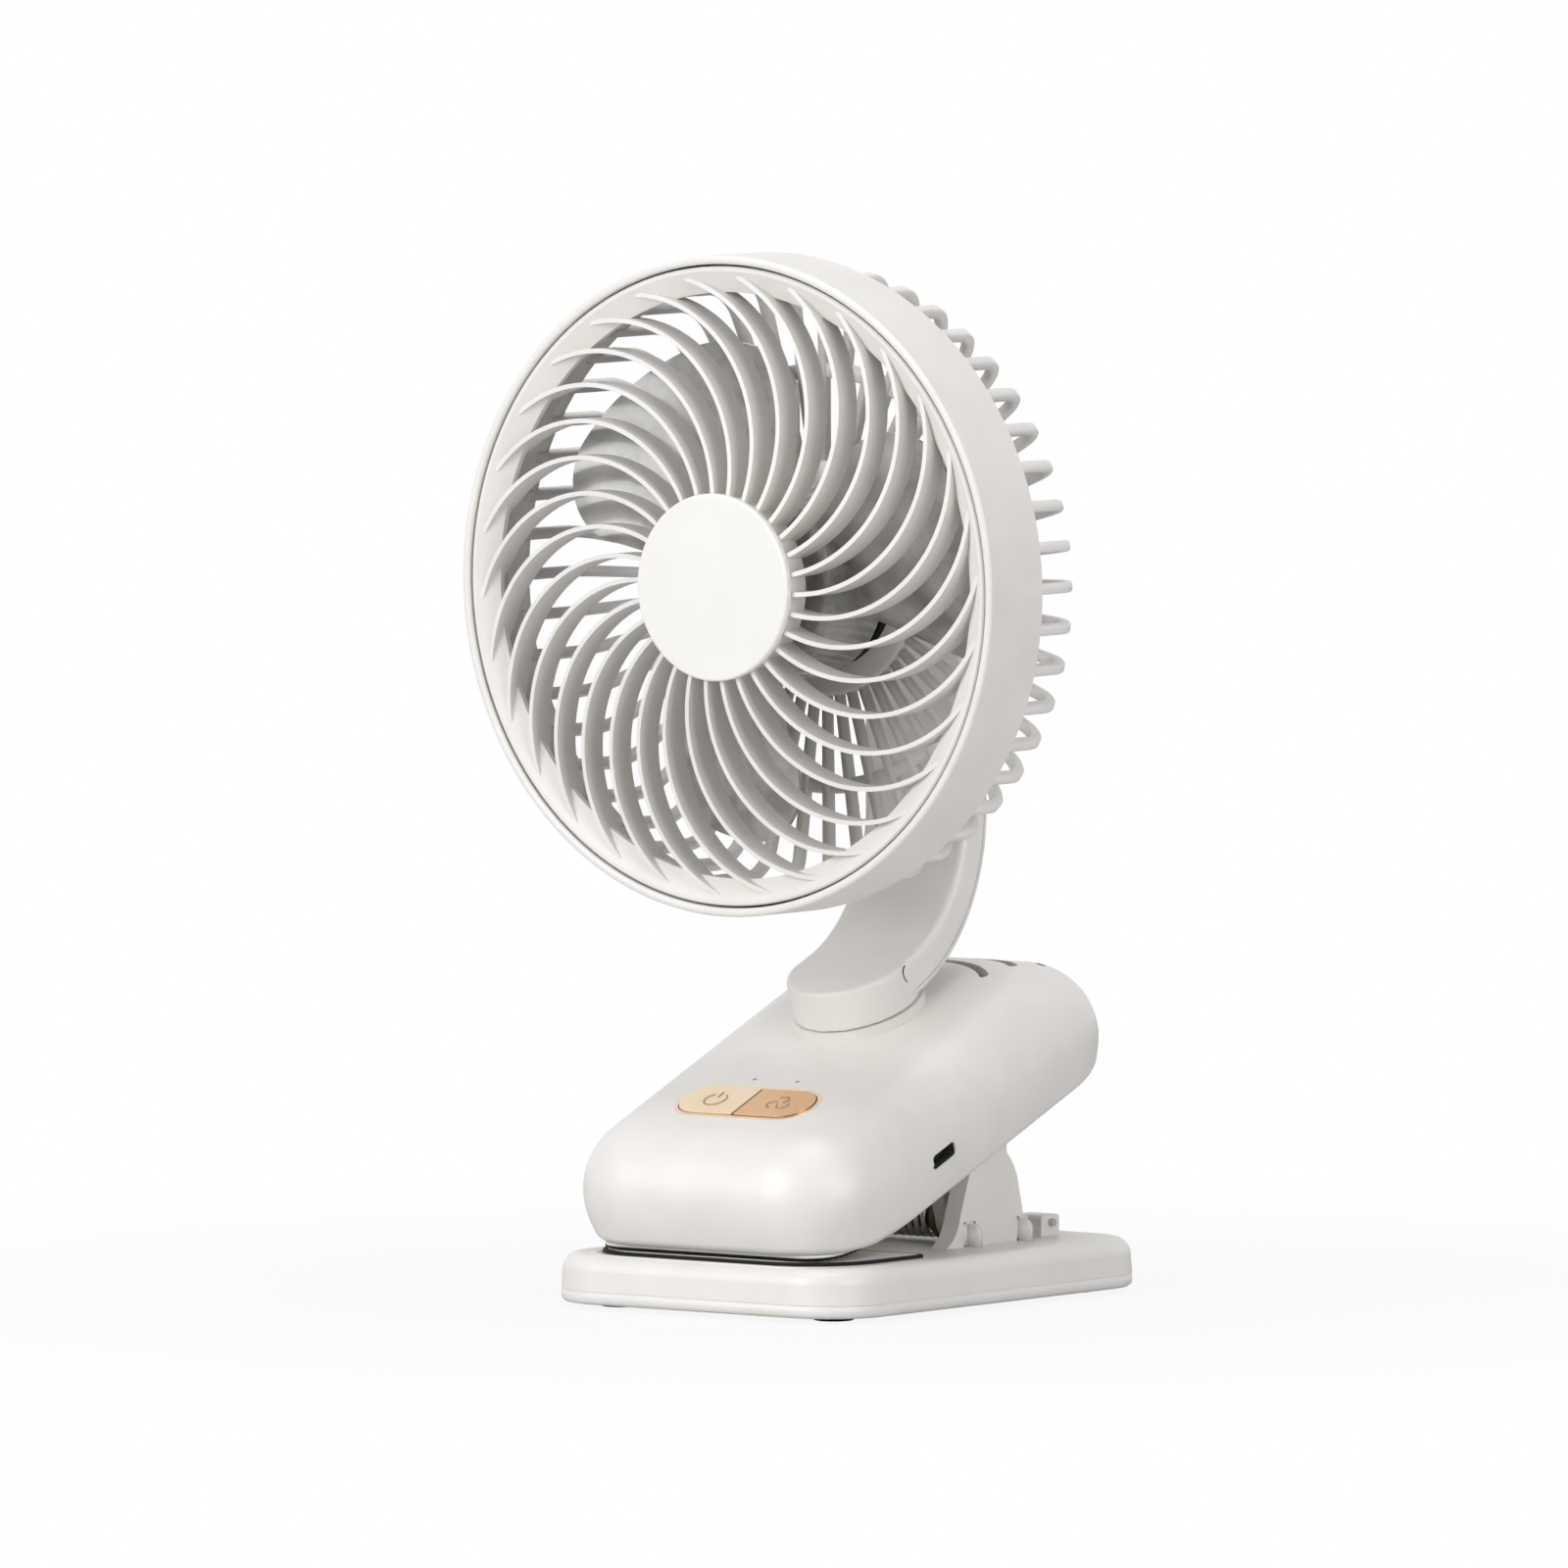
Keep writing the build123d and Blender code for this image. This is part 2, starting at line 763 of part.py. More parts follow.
def on_axis(height):
    """(y, z) of a point on the swivel axis."""
    return (swivel_y + height * swivel_normal[1], swivel_z + height * swivel_normal[2])


def arm_band(inner, outer, top_end_angle, half_width):
    """The C between two radii, from the swivel axis up towards the pivot, as a solid."""
    start_in = on_axis(axis_hit(inner))
    start_out = on_axis(axis_hit(outer))
    centre = (arm_centre_y, arm_centre_z)
    top_in = arm_top_r + inner - arm_mid_r
    top_out = arm_top_r + outer - arm_mid_r
    end = radians(top_end_angle)

    def bow(start, radius):
        """Arc from the swivel axis to the upright, tangent to it."""
        mid = -acos((start[0] - centre[0]) / radius) / 2
        ThreePointArc(
            start,
            (centre[0] + radius * cos(mid), centre[1] + radius * sin(mid)),
            (centre[0] + radius, centre[1]),
        )

    def bend(radius):
        """Arc over the top of the arm."""
        ThreePointArc(
            (arm_top_y + radius, arm_top_z),
            (arm_top_y + radius * cos(end / 2), arm_top_z + radius * sin(end / 2)),
            (arm_top_y + radius * cos(end), arm_top_z + radius * sin(end)),
        )

    def top_point(radius):
        """End of the bend at this radius."""
        return (arm_top_y + radius * cos(end), arm_top_z + radius * sin(end))

    with BuildPart() as band:
        with BuildSketch(across(-half_width)):
            with BuildLine():
                bow(start_in, inner)
                Line((centre[0] + inner, centre[1]), (centre[0] + inner, arm_top_z))
                bend(top_in)
                Line(top_point(top_in), top_point(top_out))
                bend(top_out)
                Line((centre[0] + outer, arm_top_z), (centre[0] + outer, centre[1]))
                bow(start_out, outer)
                Line(start_out, start_in)
            make_face()
        extrude(amount=2 * half_width)
    return band


top_end = degrees(acos((pivot_y - arm_top_y) / arm_top_r))
cover_end = top_end - 24


def arm_form():
    """The whole C with its long edges rounded."""
    with BuildPart() as form:
        add(arm_band(arm_inner_r, arm_outer_r, top_end, arm_width / 2).part)
        sides = form.faces().filter_by(Axis.X)
        fillet(sides.edges().filter_by(lambda edge: edge.length > 20), radius=arm_edge_r)
    return form


def make_arm_shell():
    """C-shaped arm: swivel disc below, fork above, wire channel along its back."""
    half = arm_width / 2
    channel = arm_band(
        cover_joint_r - arm_channel_depth, cover_joint_r + 0.1, cover_end - 4, arm_channel_width / 2
    )
    with BuildPart(swivel_plane) as disc:
        with Locations((0, 0, swivel_gap)):
            Cylinder(swivel_disc_r, 24, align=(Align.CENTER, Align.CENTER, Align.MIN))
        with BuildSketch(across(-half - 5)):
            with Locations((arm_centre_y, arm_centre_z)):
                Circle(arm_inner_r)
        extrude(amount=2 * half + 10, mode=Mode.SUBTRACT)
    with BuildPart() as arm:
        with BuildSketch(across(-half)):
            with Locations((pivot_y, pivot_z)):
                Circle(fork_r)
        extrude(amount=arm_width)
        fillet(arm.edges().filter_by(GeomType.CIRCLE), radius=arm_edge_r)
        add(arm_form().part)
        add(arm_band(cover_joint_r, arm_outer_r + 2, cover_end, half + 1).part, mode=Mode.SUBTRACT)
        add(disc.part)
        add(channel.part, mode=Mode.SUBTRACT)
        with BuildSketch(across(-knuckle_half - washer_gap - washer_thick)):
            with Locations((pivot_y, pivot_z)):
                Circle(fork_r + 1.5)
        extrude(amount=2 * (knuckle_half + washer_gap + washer_thick), mode=Mode.SUBTRACT)
        with BuildSketch(across(-half)):
            with Locations((pivot_y, pivot_z)):
                Circle(tilt_pin_r)
        extrude(amount=arm_width, mode=Mode.SUBTRACT)
        for side in (-1, 1):
            with BuildSketch(across(side * half)):
                with Locations((pivot_y, pivot_z)):
                    Circle(tilt_head_r + 0.5)
            extrude(amount=-side * (1 + tilt_head_thick + (1 if side < 0 else 0)),
                    mode=Mode.SUBTRACT)
        with BuildSketch(swivel_plane):
            Circle(post_r)
        extrude(amount=post_top, mode=Mode.SUBTRACT)
        with BuildSketch(swivel_plane):
            Circle(post_bore_r)
        extrude(amount=post_top + 5, mode=Mode.SUBTRACT)
    return arm


def make_arm_cover():
    """Curved strip that closes the channel along the arm's back."""
    half = arm_width / 2
    with BuildPart() as cover:
        add(arm_form().part)
        add(arm_band(cover_joint_r, arm_outer_r, cover_end, half).part, mode=Mode.INTERSECT)
        with BuildSketch(swivel_plane):
            Circle(swivel_disc_r)
        extrude(amount=24, mode=Mode.SUBTRACT)
    return cover


def make_swivel_post():
    """Hollow post under the arm's disc; the motor's wires pass through it."""
    with BuildPart() as post:
        with BuildSketch(swivel_plane.offset(post_bottom)):
            Circle(post_r)
            Circle(post_bore_r, mode=Mode.SUBTRACT)
        extrude(amount=post_top - post_bottom)
    return post


def make_swivel_retainer():
    """Ring on the post, under the collar, that keeps the arm from lifting out."""
    top = -collar_thick - 0.2
    with BuildPart() as ring:
        with BuildSketch(swivel_plane.offset(top - retainer_thick)):
            Circle(retainer_r)
            Circle(post_r, mode=Mode.SUBTRACT)
        extrude(amount=retainer_thick)
    return ring


# ---- the clip body -----------------------------------------------------------------------
def slope_axis(s, n, x=0.0):
    """Plane parallel to the body's slope at this point."""
    y, z = slope_point(s, n)
    return Plane(origin=(x, y, z), x_dir=(1, 0, 0), z_dir=slope_plane.z_dir)


def body_plan(plane, inset):
    """The housing's outline seen square to its slope, drawn in by an inset."""
    front = body_front_s + inset
    rear = body_rear_s - inset
    with BuildSketch(plane) as plan:
        with Locations((0, (front + rear) / 2)):
            Rectangle(2 * (body_half_width - inset), rear - front)
        fillet(plan.vertices().group_by(Axis.Y)[0], radius=body_front_corner - inset)
        fillet(plan.vertices().group_by(Axis.Y)[-1], radius=body_rear_corner - inset)
    return plan


belly_low_y = (jaw_z - body_under_z) / tan(radians(body_slope)) - belly_r * tan(
    radians(body_slope) / 2
)
belly_high_y = belly_low_y + belly_r * slope_sin
side_reach = 150.0


def below_belly(drop):
    """Everything under the belly's arc, with the arc lowered by a drop, as a solid."""
    radius = belly_r + drop
    centre = (belly_low_y, jaw_z + belly_r)
    half_turn = radians(body_slope) / 2
    low = (centre[0], centre[1] - radius)
    high = (centre[0] + radius * slope_sin, centre[1] - radius * slope_cos)
    with BuildPart() as region:
        with BuildSketch(across(-side_reach / 2)):
            with BuildLine():
                ThreePointArc(
                    high,
                    (centre[0] + radius * sin(half_turn), centre[1] - radius * cos(half_turn)),
                    low,
                )
                Polyline(
                    low, (-side_reach, low[1]), (-side_reach, -side_reach),
                    (high[0], -side_reach), high,
                )
            make_face()
        extrude(amount=side_reach)
    return region


def body_form(inset):
    """The housing's outer form, or the same form drawn in by an inset."""
    flat_y, flat_z = slope_point(0, body_thick)
    bend_z = flat_z + (crown_y - flat_y) * tan(radians(body_slope))
    centre = (crown_y + crown_r * slope_sin, bend_z - crown_r * slope_cos)
    radius = crown_r - inset
    start = radians(90 + body_slope)
    end = radians(crown_end)
    middle = (start + end) / 2
    on_top = (centre[0] + radius * cos(start), centre[1] + radius * sin(start))
    off_top = (centre[0] + radius * cos(end), centre[1] + radius * sin(end))
    normal = slope_plane.z_dir
    with BuildPart() as form:
        plan = body_plan(slope_plane.offset(belt_n), inset).sketch
        extrude(plan, amount=body_thick - inset - belt_n, taper=upper_draft)
        extrude(plan, amount=inset - belt_n, taper=lower_draft)
        belt = form.edges().filter_by(
            lambda edge: abs((edge.center() - slope_plane.origin).dot(normal) - belt_n) < 0.01
        )
        fillet(belt, radius=belt_r)
        with BuildSketch(across(-side_reach / 2)):
            with BuildLine():
                ThreePointArc(
                    on_top,
                    (centre[0] + radius * cos(middle), centre[1] + radius * sin(middle)),
                    off_top,
                )
                Polyline(
                    off_top,
                    (side_reach, off_top[1]),
                    (side_reach, -side_reach),
                    (-side_reach, -side_reach),
                    (on_top[0] - side_reach * slope_cos, on_top[1] - side_reach * slope_sin),
                    on_top,
                )
            make_face()
        extrude(amount=side_reach, mode=Mode.INTERSECT)
        add(below_belly(-inset).part, mode=Mode.SUBTRACT)
        top = form.faces().filter_by(lambda face: face.normal_at().dot(normal) > 0.6)
        rim = top.edges().filter_by(lambda edge: abs(edge.center().Y - on_top[0]) > 0.2)
        fillet(rim, radius=body_top_edge_r - inset)
        under = form.faces().filter_by(lambda face: face.normal_at().dot(normal) < -0.85)
        blend_y = belly_high_y - inset * slope_sin
        edge_loop = under.edges().filter_by(lambda edge: abs(edge.center().Y - blend_y) > 0.2)
        fillet(edge_loop, radius=body_under_edge_r - inset)
    return form


def cover_plug(gap):
    """Prism of the lower cover's outline, smaller than the housing's mouth by a gap."""
    with BuildPart() as plug:
        plan = body_plan(slope_plane.offset(-belt_n), cover_inset + gap).sketch
        extrude(plan, amount=2 * belt_n)
    return plug


def key_outline(grow):
    """Long rounded outline of the two keys, grown by a margin."""
    with BuildSketch() as outline:
        SlotOverall(key_length + 2 * grow, key_width + 2 * grow)
    return outline


screw_places = [
    (side * shell_screw_x, s) for side in (-1, 1) for s in (shell_screw_front, shell_screw_rear)
]


def make_upper_shell():
    """Main housing: hollow, with the swivel collar, vents, key window and port."""
    top = slope_plane.offset(body_thick)
    outer = body_form(0)
    inner = body_form(body_wall)
    with BuildPart() as posts:
        with BuildSketch(slope_plane.offset(parting)):
            with Locations(*screw_places):
                Circle(shell_boss_r)
        extrude(amount=body_thick - parting)
        with BuildSketch(slope_plane.offset(board_n + board_thick)):
            with Locations((0, key_s)):
                with GridLocations(board_length - 6, board_width - 6, 2, 2):
                    Circle(board_post_r)
        extrude(amount=body_thick - board_n - board_thick - 1)
        add(body_form(body_wall / 2).part, mode=Mode.INTERSECT)
    with BuildPart() as shell:
        add(outer.part)
        add(inner.part, mode=Mode.SUBTRACT)
        add(cover_plug(0).part, mode=Mode.SUBTRACT)
        add(posts.part)
        with BuildSketch(swivel_plane.offset(-collar_thick)):
            Circle(collar_r)
        extrude(amount=collar_thick)
        with BuildSketch(swivel_plane):
            Circle(post_r + post_gap)
        extrude(amount=-collar_thick - body_wall, mode=Mode.SUBTRACT)
        with BuildSketch(swivel_plane.offset(-collar_thick)):
            Circle(retainer_r + 1)
        extrude(amount=-2 * body_wall, mode=Mode.SUBTRACT)
        for row in range(vent_count):
            ring = vent_first_r + row * vent_pitch
            half_angle = degrees(asin((vent_half_width + row * vent_widening) / ring))
            with BuildSketch(Plane.XY.offset(body_under_z + body_thick)) as slot:
                with Locations((0, swivel_y)):
                    SlotArc(CenterArc((0, 0), ring, 90 - half_angle, 2 * half_angle), vent_width)
            extrude(amount=2 * body_thick, mode=Mode.SUBTRACT)
        with BuildSketch(slope_axis(key_s, body_thick)):
            add(key_outline(key_gap).sketch_local)
        extrude(amount=-2 * body_wall, mode=Mode.SUBTRACT)
        with BuildSketch(slope_axis(key_s, body_thick)):
            add(key_outline(key_gap + bezel_width).sketch_local)
        extrude(amount=bezel_proud - bezel_thick, mode=Mode.SUBTRACT)
        with BuildSketch(top):
            with Locations((-light_x, light_s), (light_x, light_s)):
                Circle(light_r)
        extrude(amount=-2 * body_wall, mode=Mode.SUBTRACT)
        with BuildSketch(port_plane(body_half_width)):
            RectangleRounded(port_mouth_length, port_mouth_height, port_mouth_r)
        extrude(amount=-belt_sag - 2 * body_wall, mode=Mode.SUBTRACT)
        with BuildSketch(port_plane(body_side_x)):
            RectangleRounded(
                port_mouth_length + 2 * port_bevel,
                port_mouth_height + 2 * port_bevel,
                port_mouth_r + port_bevel,
            )
        extrude(amount=-port_bevel, taper=45, mode=Mode.SUBTRACT)
        with BuildSketch(slope_plane.offset(parting)):
            with Locations(*screw_places):
                Circle(shell_screw_r)
        extrude(amount=shell_screw_length, mode=Mode.SUBTRACT)
    return shell


def port_plane(x):
    """Plane of the port's mouth at this x, its length along the body's slope."""
    y, z = slope_point(port_s, port_n)
    return Plane(origin=(x, y, z), x_dir=(0, slope_cos, slope_sin), z_dir=(1, 0, 0))


def lug_outline():
    """Side outline of one hinge lug, from the underside down round the pin."""
    under = tan(radians(body_slope))
    with BuildSketch() as lug:
        with Locations((hinge_y, hinge_z)):
            Circle(lug_end_r)
        Polygon(
            (hinge_y - lug_end_r, hinge_z),
            (lug_front_y, body_under_z + under * lug_front_y + 1),
            (lug_rear_y, body_under_z + under * lug_rear_y + 1),
            (hinge_y + lug_end_r, hinge_z),
            align=None,
        )
        with Locations((hinge_y, hinge_z)):
            Circle(hinge_pin_r + pin_gap, mode=Mode.SUBTRACT)
    return lug


def make_lower_cover():
    """Underside of the housing with the two hinge lugs and the battery's cradle."""
    outer = body_form(0)
    inner = body_form(body_wall)
    battery_y, battery_z = slope_point(battery_s, battery_n)
    lug = lug_outline()
    with BuildPart() as cover:
        add(outer.part)
        add(inner.part, mode=Mode.SUBTRACT)
        add(cover_plug(cover_gap).part, mode=Mode.INTERSECT)
        with BuildSketch(slope_plane.offset(body_wall - 0.5)):
            with Locations(*screw_places):
                Circle(shell_boss_r)
        extrude(amount=parting - body_wall + 0.5)
        with BuildSketch(slope_plane.offset(body_wall - 0.5)):
            with Locations(*charge_post_places):
                Circle(board_post_r)
        extrude(amount=charge_board_n - body_wall + 0.5)
        for side in (-1, 1):
            with BuildSketch(across(side * cradle_x - cradle_thick / 2)):
                with Locations(Location((battery_y, battery_z), body_slope)):
                    with Locations((0, -battery_n / 2 + body_wall / 2 - 0.25)):
                        Rectangle(2 * battery_r + 3, battery_n - body_wall + 0.5)
                    Circle(battery_r + 0.05, mode=Mode.SUBTRACT)
            extrude(amount=cradle_thick)
            with BuildSketch(across(side * lug_inner_x)):
                add(lug.sketch_local)
            extrude(amount=side * lug_thick)
        with BuildSketch(slope_plane):
            with Locations(*screw_places):
                Circle(shell_screw_r)
        extrude(amount=parting, mode=Mode.SUBTRACT)
        with BuildSketch(slope_plane):
            with Locations(*screw_places):
                Circle(shell_screw_head_r)
        extrude(amount=shell_screw_sink, mode=Mode.SUBTRACT)
    return cover


def make_shell_screws():
    """Four screws up through the lower cover."""
    with BuildPart() as screws:
        with BuildSketch(slope_plane.offset(shell_screw_sink)):
            with Locations(*screw_places):
                Circle(shell_screw_head_r)
        extrude(amount=-shell_screw_head)
        with BuildSketch(slope_plane.offset(shell_screw_sink)):
            with Locations(*screw_places):
                Circle(shell_screw_r)
        extrude(amount=parting - shell_screw_sink + shell_screw_length - 1)
    return screws


def make_upper_pad():
    """Black grip sheet under the nose, following the belly's arc."""
    with BuildPart() as pad:
        with BuildSketch():
            with Locations((0, (upper_pad_front + upper_pad_rear) / 2)):
                RectangleRounded(
                    2 * upper_pad_half_width, upper_pad_rear - upper_pad_front, upper_pad_corner_r
                )
        extrude(amount=body_under_z)
        add(below_belly(0).part, mode=Mode.INTERSECT)
        add(below_belly(jaw_z - pad_top - pad_gap).part, mode=Mode.SUBTRACT)
    return pad


def make_battery():
    """Round lithium cell lying across the nose."""
    y, z = slope_point(battery_s, battery_n)
    with BuildPart() as cell:
        with BuildSketch(across(-battery_length / 2)):
            with Locations((y, z)):
                Circle(battery_r)
        extrude(amount=battery_length)
        with BuildSketch(across(battery_length / 2)):
            with Locations((y, z)):
                Circle(battery_r / 3)
        extrude(amount=1.0)
    return cell


def make_control_board():
    """Circuit board under the keys."""
    with BuildPart() as board:
        with BuildSketch(slope_axis(key_s, board_n)):
            RectangleRounded(board_length, board_width, 2)
        extrude(amount=board_thick)
    return board


def make_key_switches():
    """Two push switches on the board, one under each key."""
    with BuildPart() as switches:
        with BuildSketch(slope_axis(key_s, board_n + board_thick)):
            with Locations((-key_length / 4, 0), (key_length / 4, 0)):
                Rectangle(switch_size, switch_size)
        extrude(amount=switch_height - 0.6)
        with BuildSketch(slope_axis(key_s, board_n + board_thick + switch_height - 0.6)):
            with Locations((-key_length / 4, 0), (key_length / 4, 0)):
                Circle(stem_r)
        extrude(amount=0.6)
    return switches


def make_light_pipes():
    """Two tiny clear pipes from the board to the top face."""
    with BuildPart() as pipes:
        with BuildSketch(slope_plane.offset(board_n + board_thick)):
            with Locations((-light_x, light_s), (light_x, light_s)):
                Circle(light_r)
        extrude(amount=body_thick - board_n - board_thick)
    return pipes


def make_charge_board():
    """Small charging board beside the battery, behind the port."""
    with BuildPart() as board:
        with BuildSketch(slope_axis(port_s, charge_board_n, charge_board_x)):
            Rectangle(charge_board_length, charge_board_width)
        extrude(amount=charge_board_thick)
    return board


def make_usb_socket():
    """Metal shell of the charging socket with its tongue."""
    face_x = body_side_x - body_wall - port_seat_gap
    with BuildPart() as socket:
        with BuildSketch(port_plane(face_x)):
            SlotOverall(port_width + 2 * port_wall, port_height + 2 * port_wall)
        extrude(amount=-port_depth)
        with BuildSketch(port_plane(face_x)):
            SlotOverall(port_width, port_height)
            SlotOverall(port_width * 0.74, port_height * 0.24, mode=Mode.SUBTRACT)
        extrude(amount=-port_depth + 1, mode=Mode.SUBTRACT)
    return socket


def make_key_bezel():
    """Thin light-gold rim round the keys."""
    with BuildPart() as bezel:
        with BuildSketch(slope_axis(key_s, body_thick + bezel_proud)):
            add(key_outline(key_gap + bezel_width).sketch_local)
            add(key_outline(key_gap).sketch_local, mode=Mode.SUBTRACT)
        extrude(amount=-bezel_thick)
    return bezel


def make_key(side):
    """One gold key: half of the long outline, with its stem above the switch."""
    top = body_thick + key_proud
    with BuildPart() as key:
        with BuildSketch(slope_axis(key_s, top)):
            add(key_outline(0).sketch_local)
            with Locations((-side * (key_length / 2 - key_split / 2), 0)):
                Rectangle(key_length, 2 * key_width, mode=Mode.SUBTRACT)
        extrude(amount=-key_thick)
        with BuildSketch(slope_axis(key_s, top - key_thick)):
            with Locations((side * key_length / 4, 0)):
                Circle(stem_r)
        extrude(amount=board_n + board_thick + switch_height + key_travel + 0.1 - top + key_thick)
    return key


# ---- the base ----------------------------------------------------------------------------
def base_outline(plane, inset):
    """Rounded rectangle of the base, drawn in by an inset."""
    with BuildSketch(plane) as outline:
        RectangleRounded(
            2 * (base_half_width - inset), 2 * (base_half_length - inset), base_corner_r - inset
        )
    return outline


def make_base_plate():
    """Foot of the clip: rounded plate, two ears for the hinge, blocks for the spring's bar."""
    with BuildPart() as plate:
        add(base_outline(Plane.XY.offset(base_split), 0).sketch)
        extrude(amount=base_top - base_split, taper=base_draft)
        fillet(plate.faces().sort_by(Axis.Z)[-1].edges(), radius=base_shoulder_r)
        add(base_outline(Plane.XY.offset(base_split), base_wall).sketch)
        extrude(amount=base_top - base_split - base_wall, taper=base_draft, mode=Mode.SUBTRACT)
        with BuildSketch(Plane.XY.offset(base_split)):
            with GridLocations(2 * foot_x, 2 * foot_y, 2, 2):
                Circle(screw_boss_r)
        extrude(amount=base_top - base_split - 1)
        for side in (-1, 1):
            with BuildSketch(across(side * ear_inner_x)):
                with BuildLine():
                    ThreePointArc(ear_toe, ear_instep, ear_shin)
                    Line(ear_shin, ear_top_front)
                    ThreePointArc(ear_top_front, (hinge_y, hinge_z + ear_top_r), ear_top_rear)
                    Line(ear_top_rear, ear_notch)
                    ThreePointArc(ear_notch, ear_shoulder, ear_back)
                    Polyline(ear_back, ear_heel, ear_toe)
                make_face()
            extrude(amount=side * ear_thick)
            with BuildSketch(across(side * (lug_inner_x + lug_thick + side_gap))):
                with Locations((hinge_y, hinge_z)):
                    Circle(ear_boss_r)
            extrude(amount=side * (ear_inner_x - lug_inner_x - lug_thick - side_gap + 1))
            with BuildSketch(across(side * block_inner_x)):
                with Locations((anchor_y, base_top + block_height / 2 - 0.5)):
                    RectangleRounded(2 * block_half_y, block_height + 1, 1)
            extrude(amount=side * block_thick)
            with BuildSketch(across(side * (ear_inner_x + ear_thick))):
                with Locations(*[(y, base_top + pocket_height / 2) for y in pocket_places]):
                    RectangleRounded(pocket_width, pocket_height, 1.4)
            extrude(amount=-side * pocket_depth, mode=Mode.SUBTRACT)
        with BuildSketch(across(-anchor_half_length)):
            with Locations((anchor_y, anchor_z)):
                Circle(anchor_r)
        extrude(amount=2 * anchor_half_length, mode=Mode.SUBTRACT)
        with BuildSketch(across(-base_half_width)):
            with Locations((hinge_y, hinge_z)):
                Circle(hinge_pin_r)
        extrude(amount=base_half_width + hinge_pin_end, mode=Mode.SUBTRACT)
        add(pad_outline(Plane.XY.offset(base_top), 0).sketch)
        extrude(amount=-pad_recess, mode=Mode.SUBTRACT)
        with BuildSketch(Plane.XY.offset(base_top)):
            for side in (-1, 1):
                with Locations((side * leg_slot_x, leg_slot_y)):
                    RectangleRounded(leg_slot_length, leg_slot_width, 1)
        extrude(amount=-leg_slot_depth, mode=Mode.SUBTRACT)
        with BuildSketch(Plane.XY.offset(base_split)):
            with GridLocations(2 * foot_x, 2 * foot_y, 2, 2):
                Circle(base_screw_r)
        extrude(amount=base_screw_length, mode=Mode.SUBTRACT)
    return plate


def pad_outline(plane, inset):
    """Outline of the pad on the plate."""
    with BuildSketch(plane) as outline:
        with Locations((0, (pad_front + pad_rear) / 2)):
            Rectangle(2 * (pad_half_width - inset), pad_rear - pad_front - 2 * inset)
        fillet(outline.vertices().group_by(Axis.Y)[0], radius=pad_corner_r - inset)
        fillet(outline.vertices().group_by(Axis.Y)[-1], radius=pad_rear_corner_r - inset)
    return outline


def make_lower_pad():
    """Black grip pad let into the plate; its cream facing is a separate sheet."""
    with BuildPart() as pad:
        add(pad_outline(Plane.XY.offset(base_top - pad_recess), 0).sketch)
        extrude(amount=pad_top - base_top + pad_recess)
        add(pad_outline(Plane.XY.offset(pad_top), facing_inset).sketch)
        extrude(amount=-facing_thick, mode=Mode.SUBTRACT)
    return pad


def make_pad_facing():
    """Cream facing laid into the lower pad."""
    with BuildPart() as facing:
        add(pad_outline(Plane.XY.offset(pad_top), facing_inset).sketch)
        extrude(amount=-facing_thick)
    return facing


def make_base_cover():
    """Closing plate under the base, stepped in from the plate's edge."""
    with BuildPart() as cover:
        add(base_outline(Plane.XY.offset(cover_bottom), cover_inset).sketch)
        extrude(amount=base_split - cover_bottom)
        fillet(cover.faces().sort_by(Axis.Z)[0].edges(), radius=1.2)
        with BuildSketch(Plane.XY.offset(cover_bottom)):
            with GridLocations(2 * foot_x, 2 * foot_y, 2, 2):
                Circle(foot_r)
        extrude(amount=foot_recess, mode=Mode.SUBTRACT)
        with BuildSketch(Plane.XY.offset(cover_bottom)):
            with GridLocations(2 * foot_x, 2 * foot_y, 2, 2):
                Circle(base_screw_head_r)
        extrude(amount=base_screw_sink, mode=Mode.SUBTRACT)
        with BuildSketch(Plane.XY.offset(cover_bottom)):
            with GridLocations(2 * foot_x, 2 * foot_y, 2, 2):
                Circle(base_screw_r)
        extrude(amount=base_split - cover_bottom, mode=Mode.SUBTRACT)
    return cover


def make_base_screws():
    """Four screws up through the cover, hidden by the feet."""
    head_z0 = cover_bottom + foot_recess
    with BuildPart() as screws:
        with BuildSketch(Plane.XY.offset(head_z0)):
            with GridLocations(2 * foot_x, 2 * foot_y, 2, 2):
                Circle(base_screw_head_r)
        extrude(amount=base_screw_sink - foot_recess)
        with BuildSketch(Plane.XY.offset(cover_bottom + base_screw_sink)):
            with GridLocations(2 * foot_x, 2 * foot_y, 2, 2):
                Circle(base_screw_r)
        extrude(amount=base_split - cover_bottom - base_screw_sink + base_screw_length - 1)
    return screws


def make_rubber_feet():
    """Four round feet stuck over the screws."""
    with BuildPart() as feet:
        with BuildSketch(Plane.XY):
            with GridLocations(2 * foot_x, 2 * foot_y, 2, 2):
                Circle(foot_r)
        extrude(amount=cover_bottom + foot_recess)
        chamfer(feet.faces().group_by(Axis.Z)[0].edges(), length=0.4)
    return feet


# ---- the clip's hinge --------------------------------------------------------------------
def make_hinge_pin():
    """Steel pin through both ears; its far end is blind in the port-side ear."""
    with BuildPart() as pin:
        with BuildSketch(across(-ear_inner_x - ear_thick + 0.5)):
            with Locations((hinge_y, hinge_z)):
                Circle(hinge_pin_r)
        extrude(amount=ear_inner_x + ear_thick - 0.5 + hinge_pin_end)
    return pin


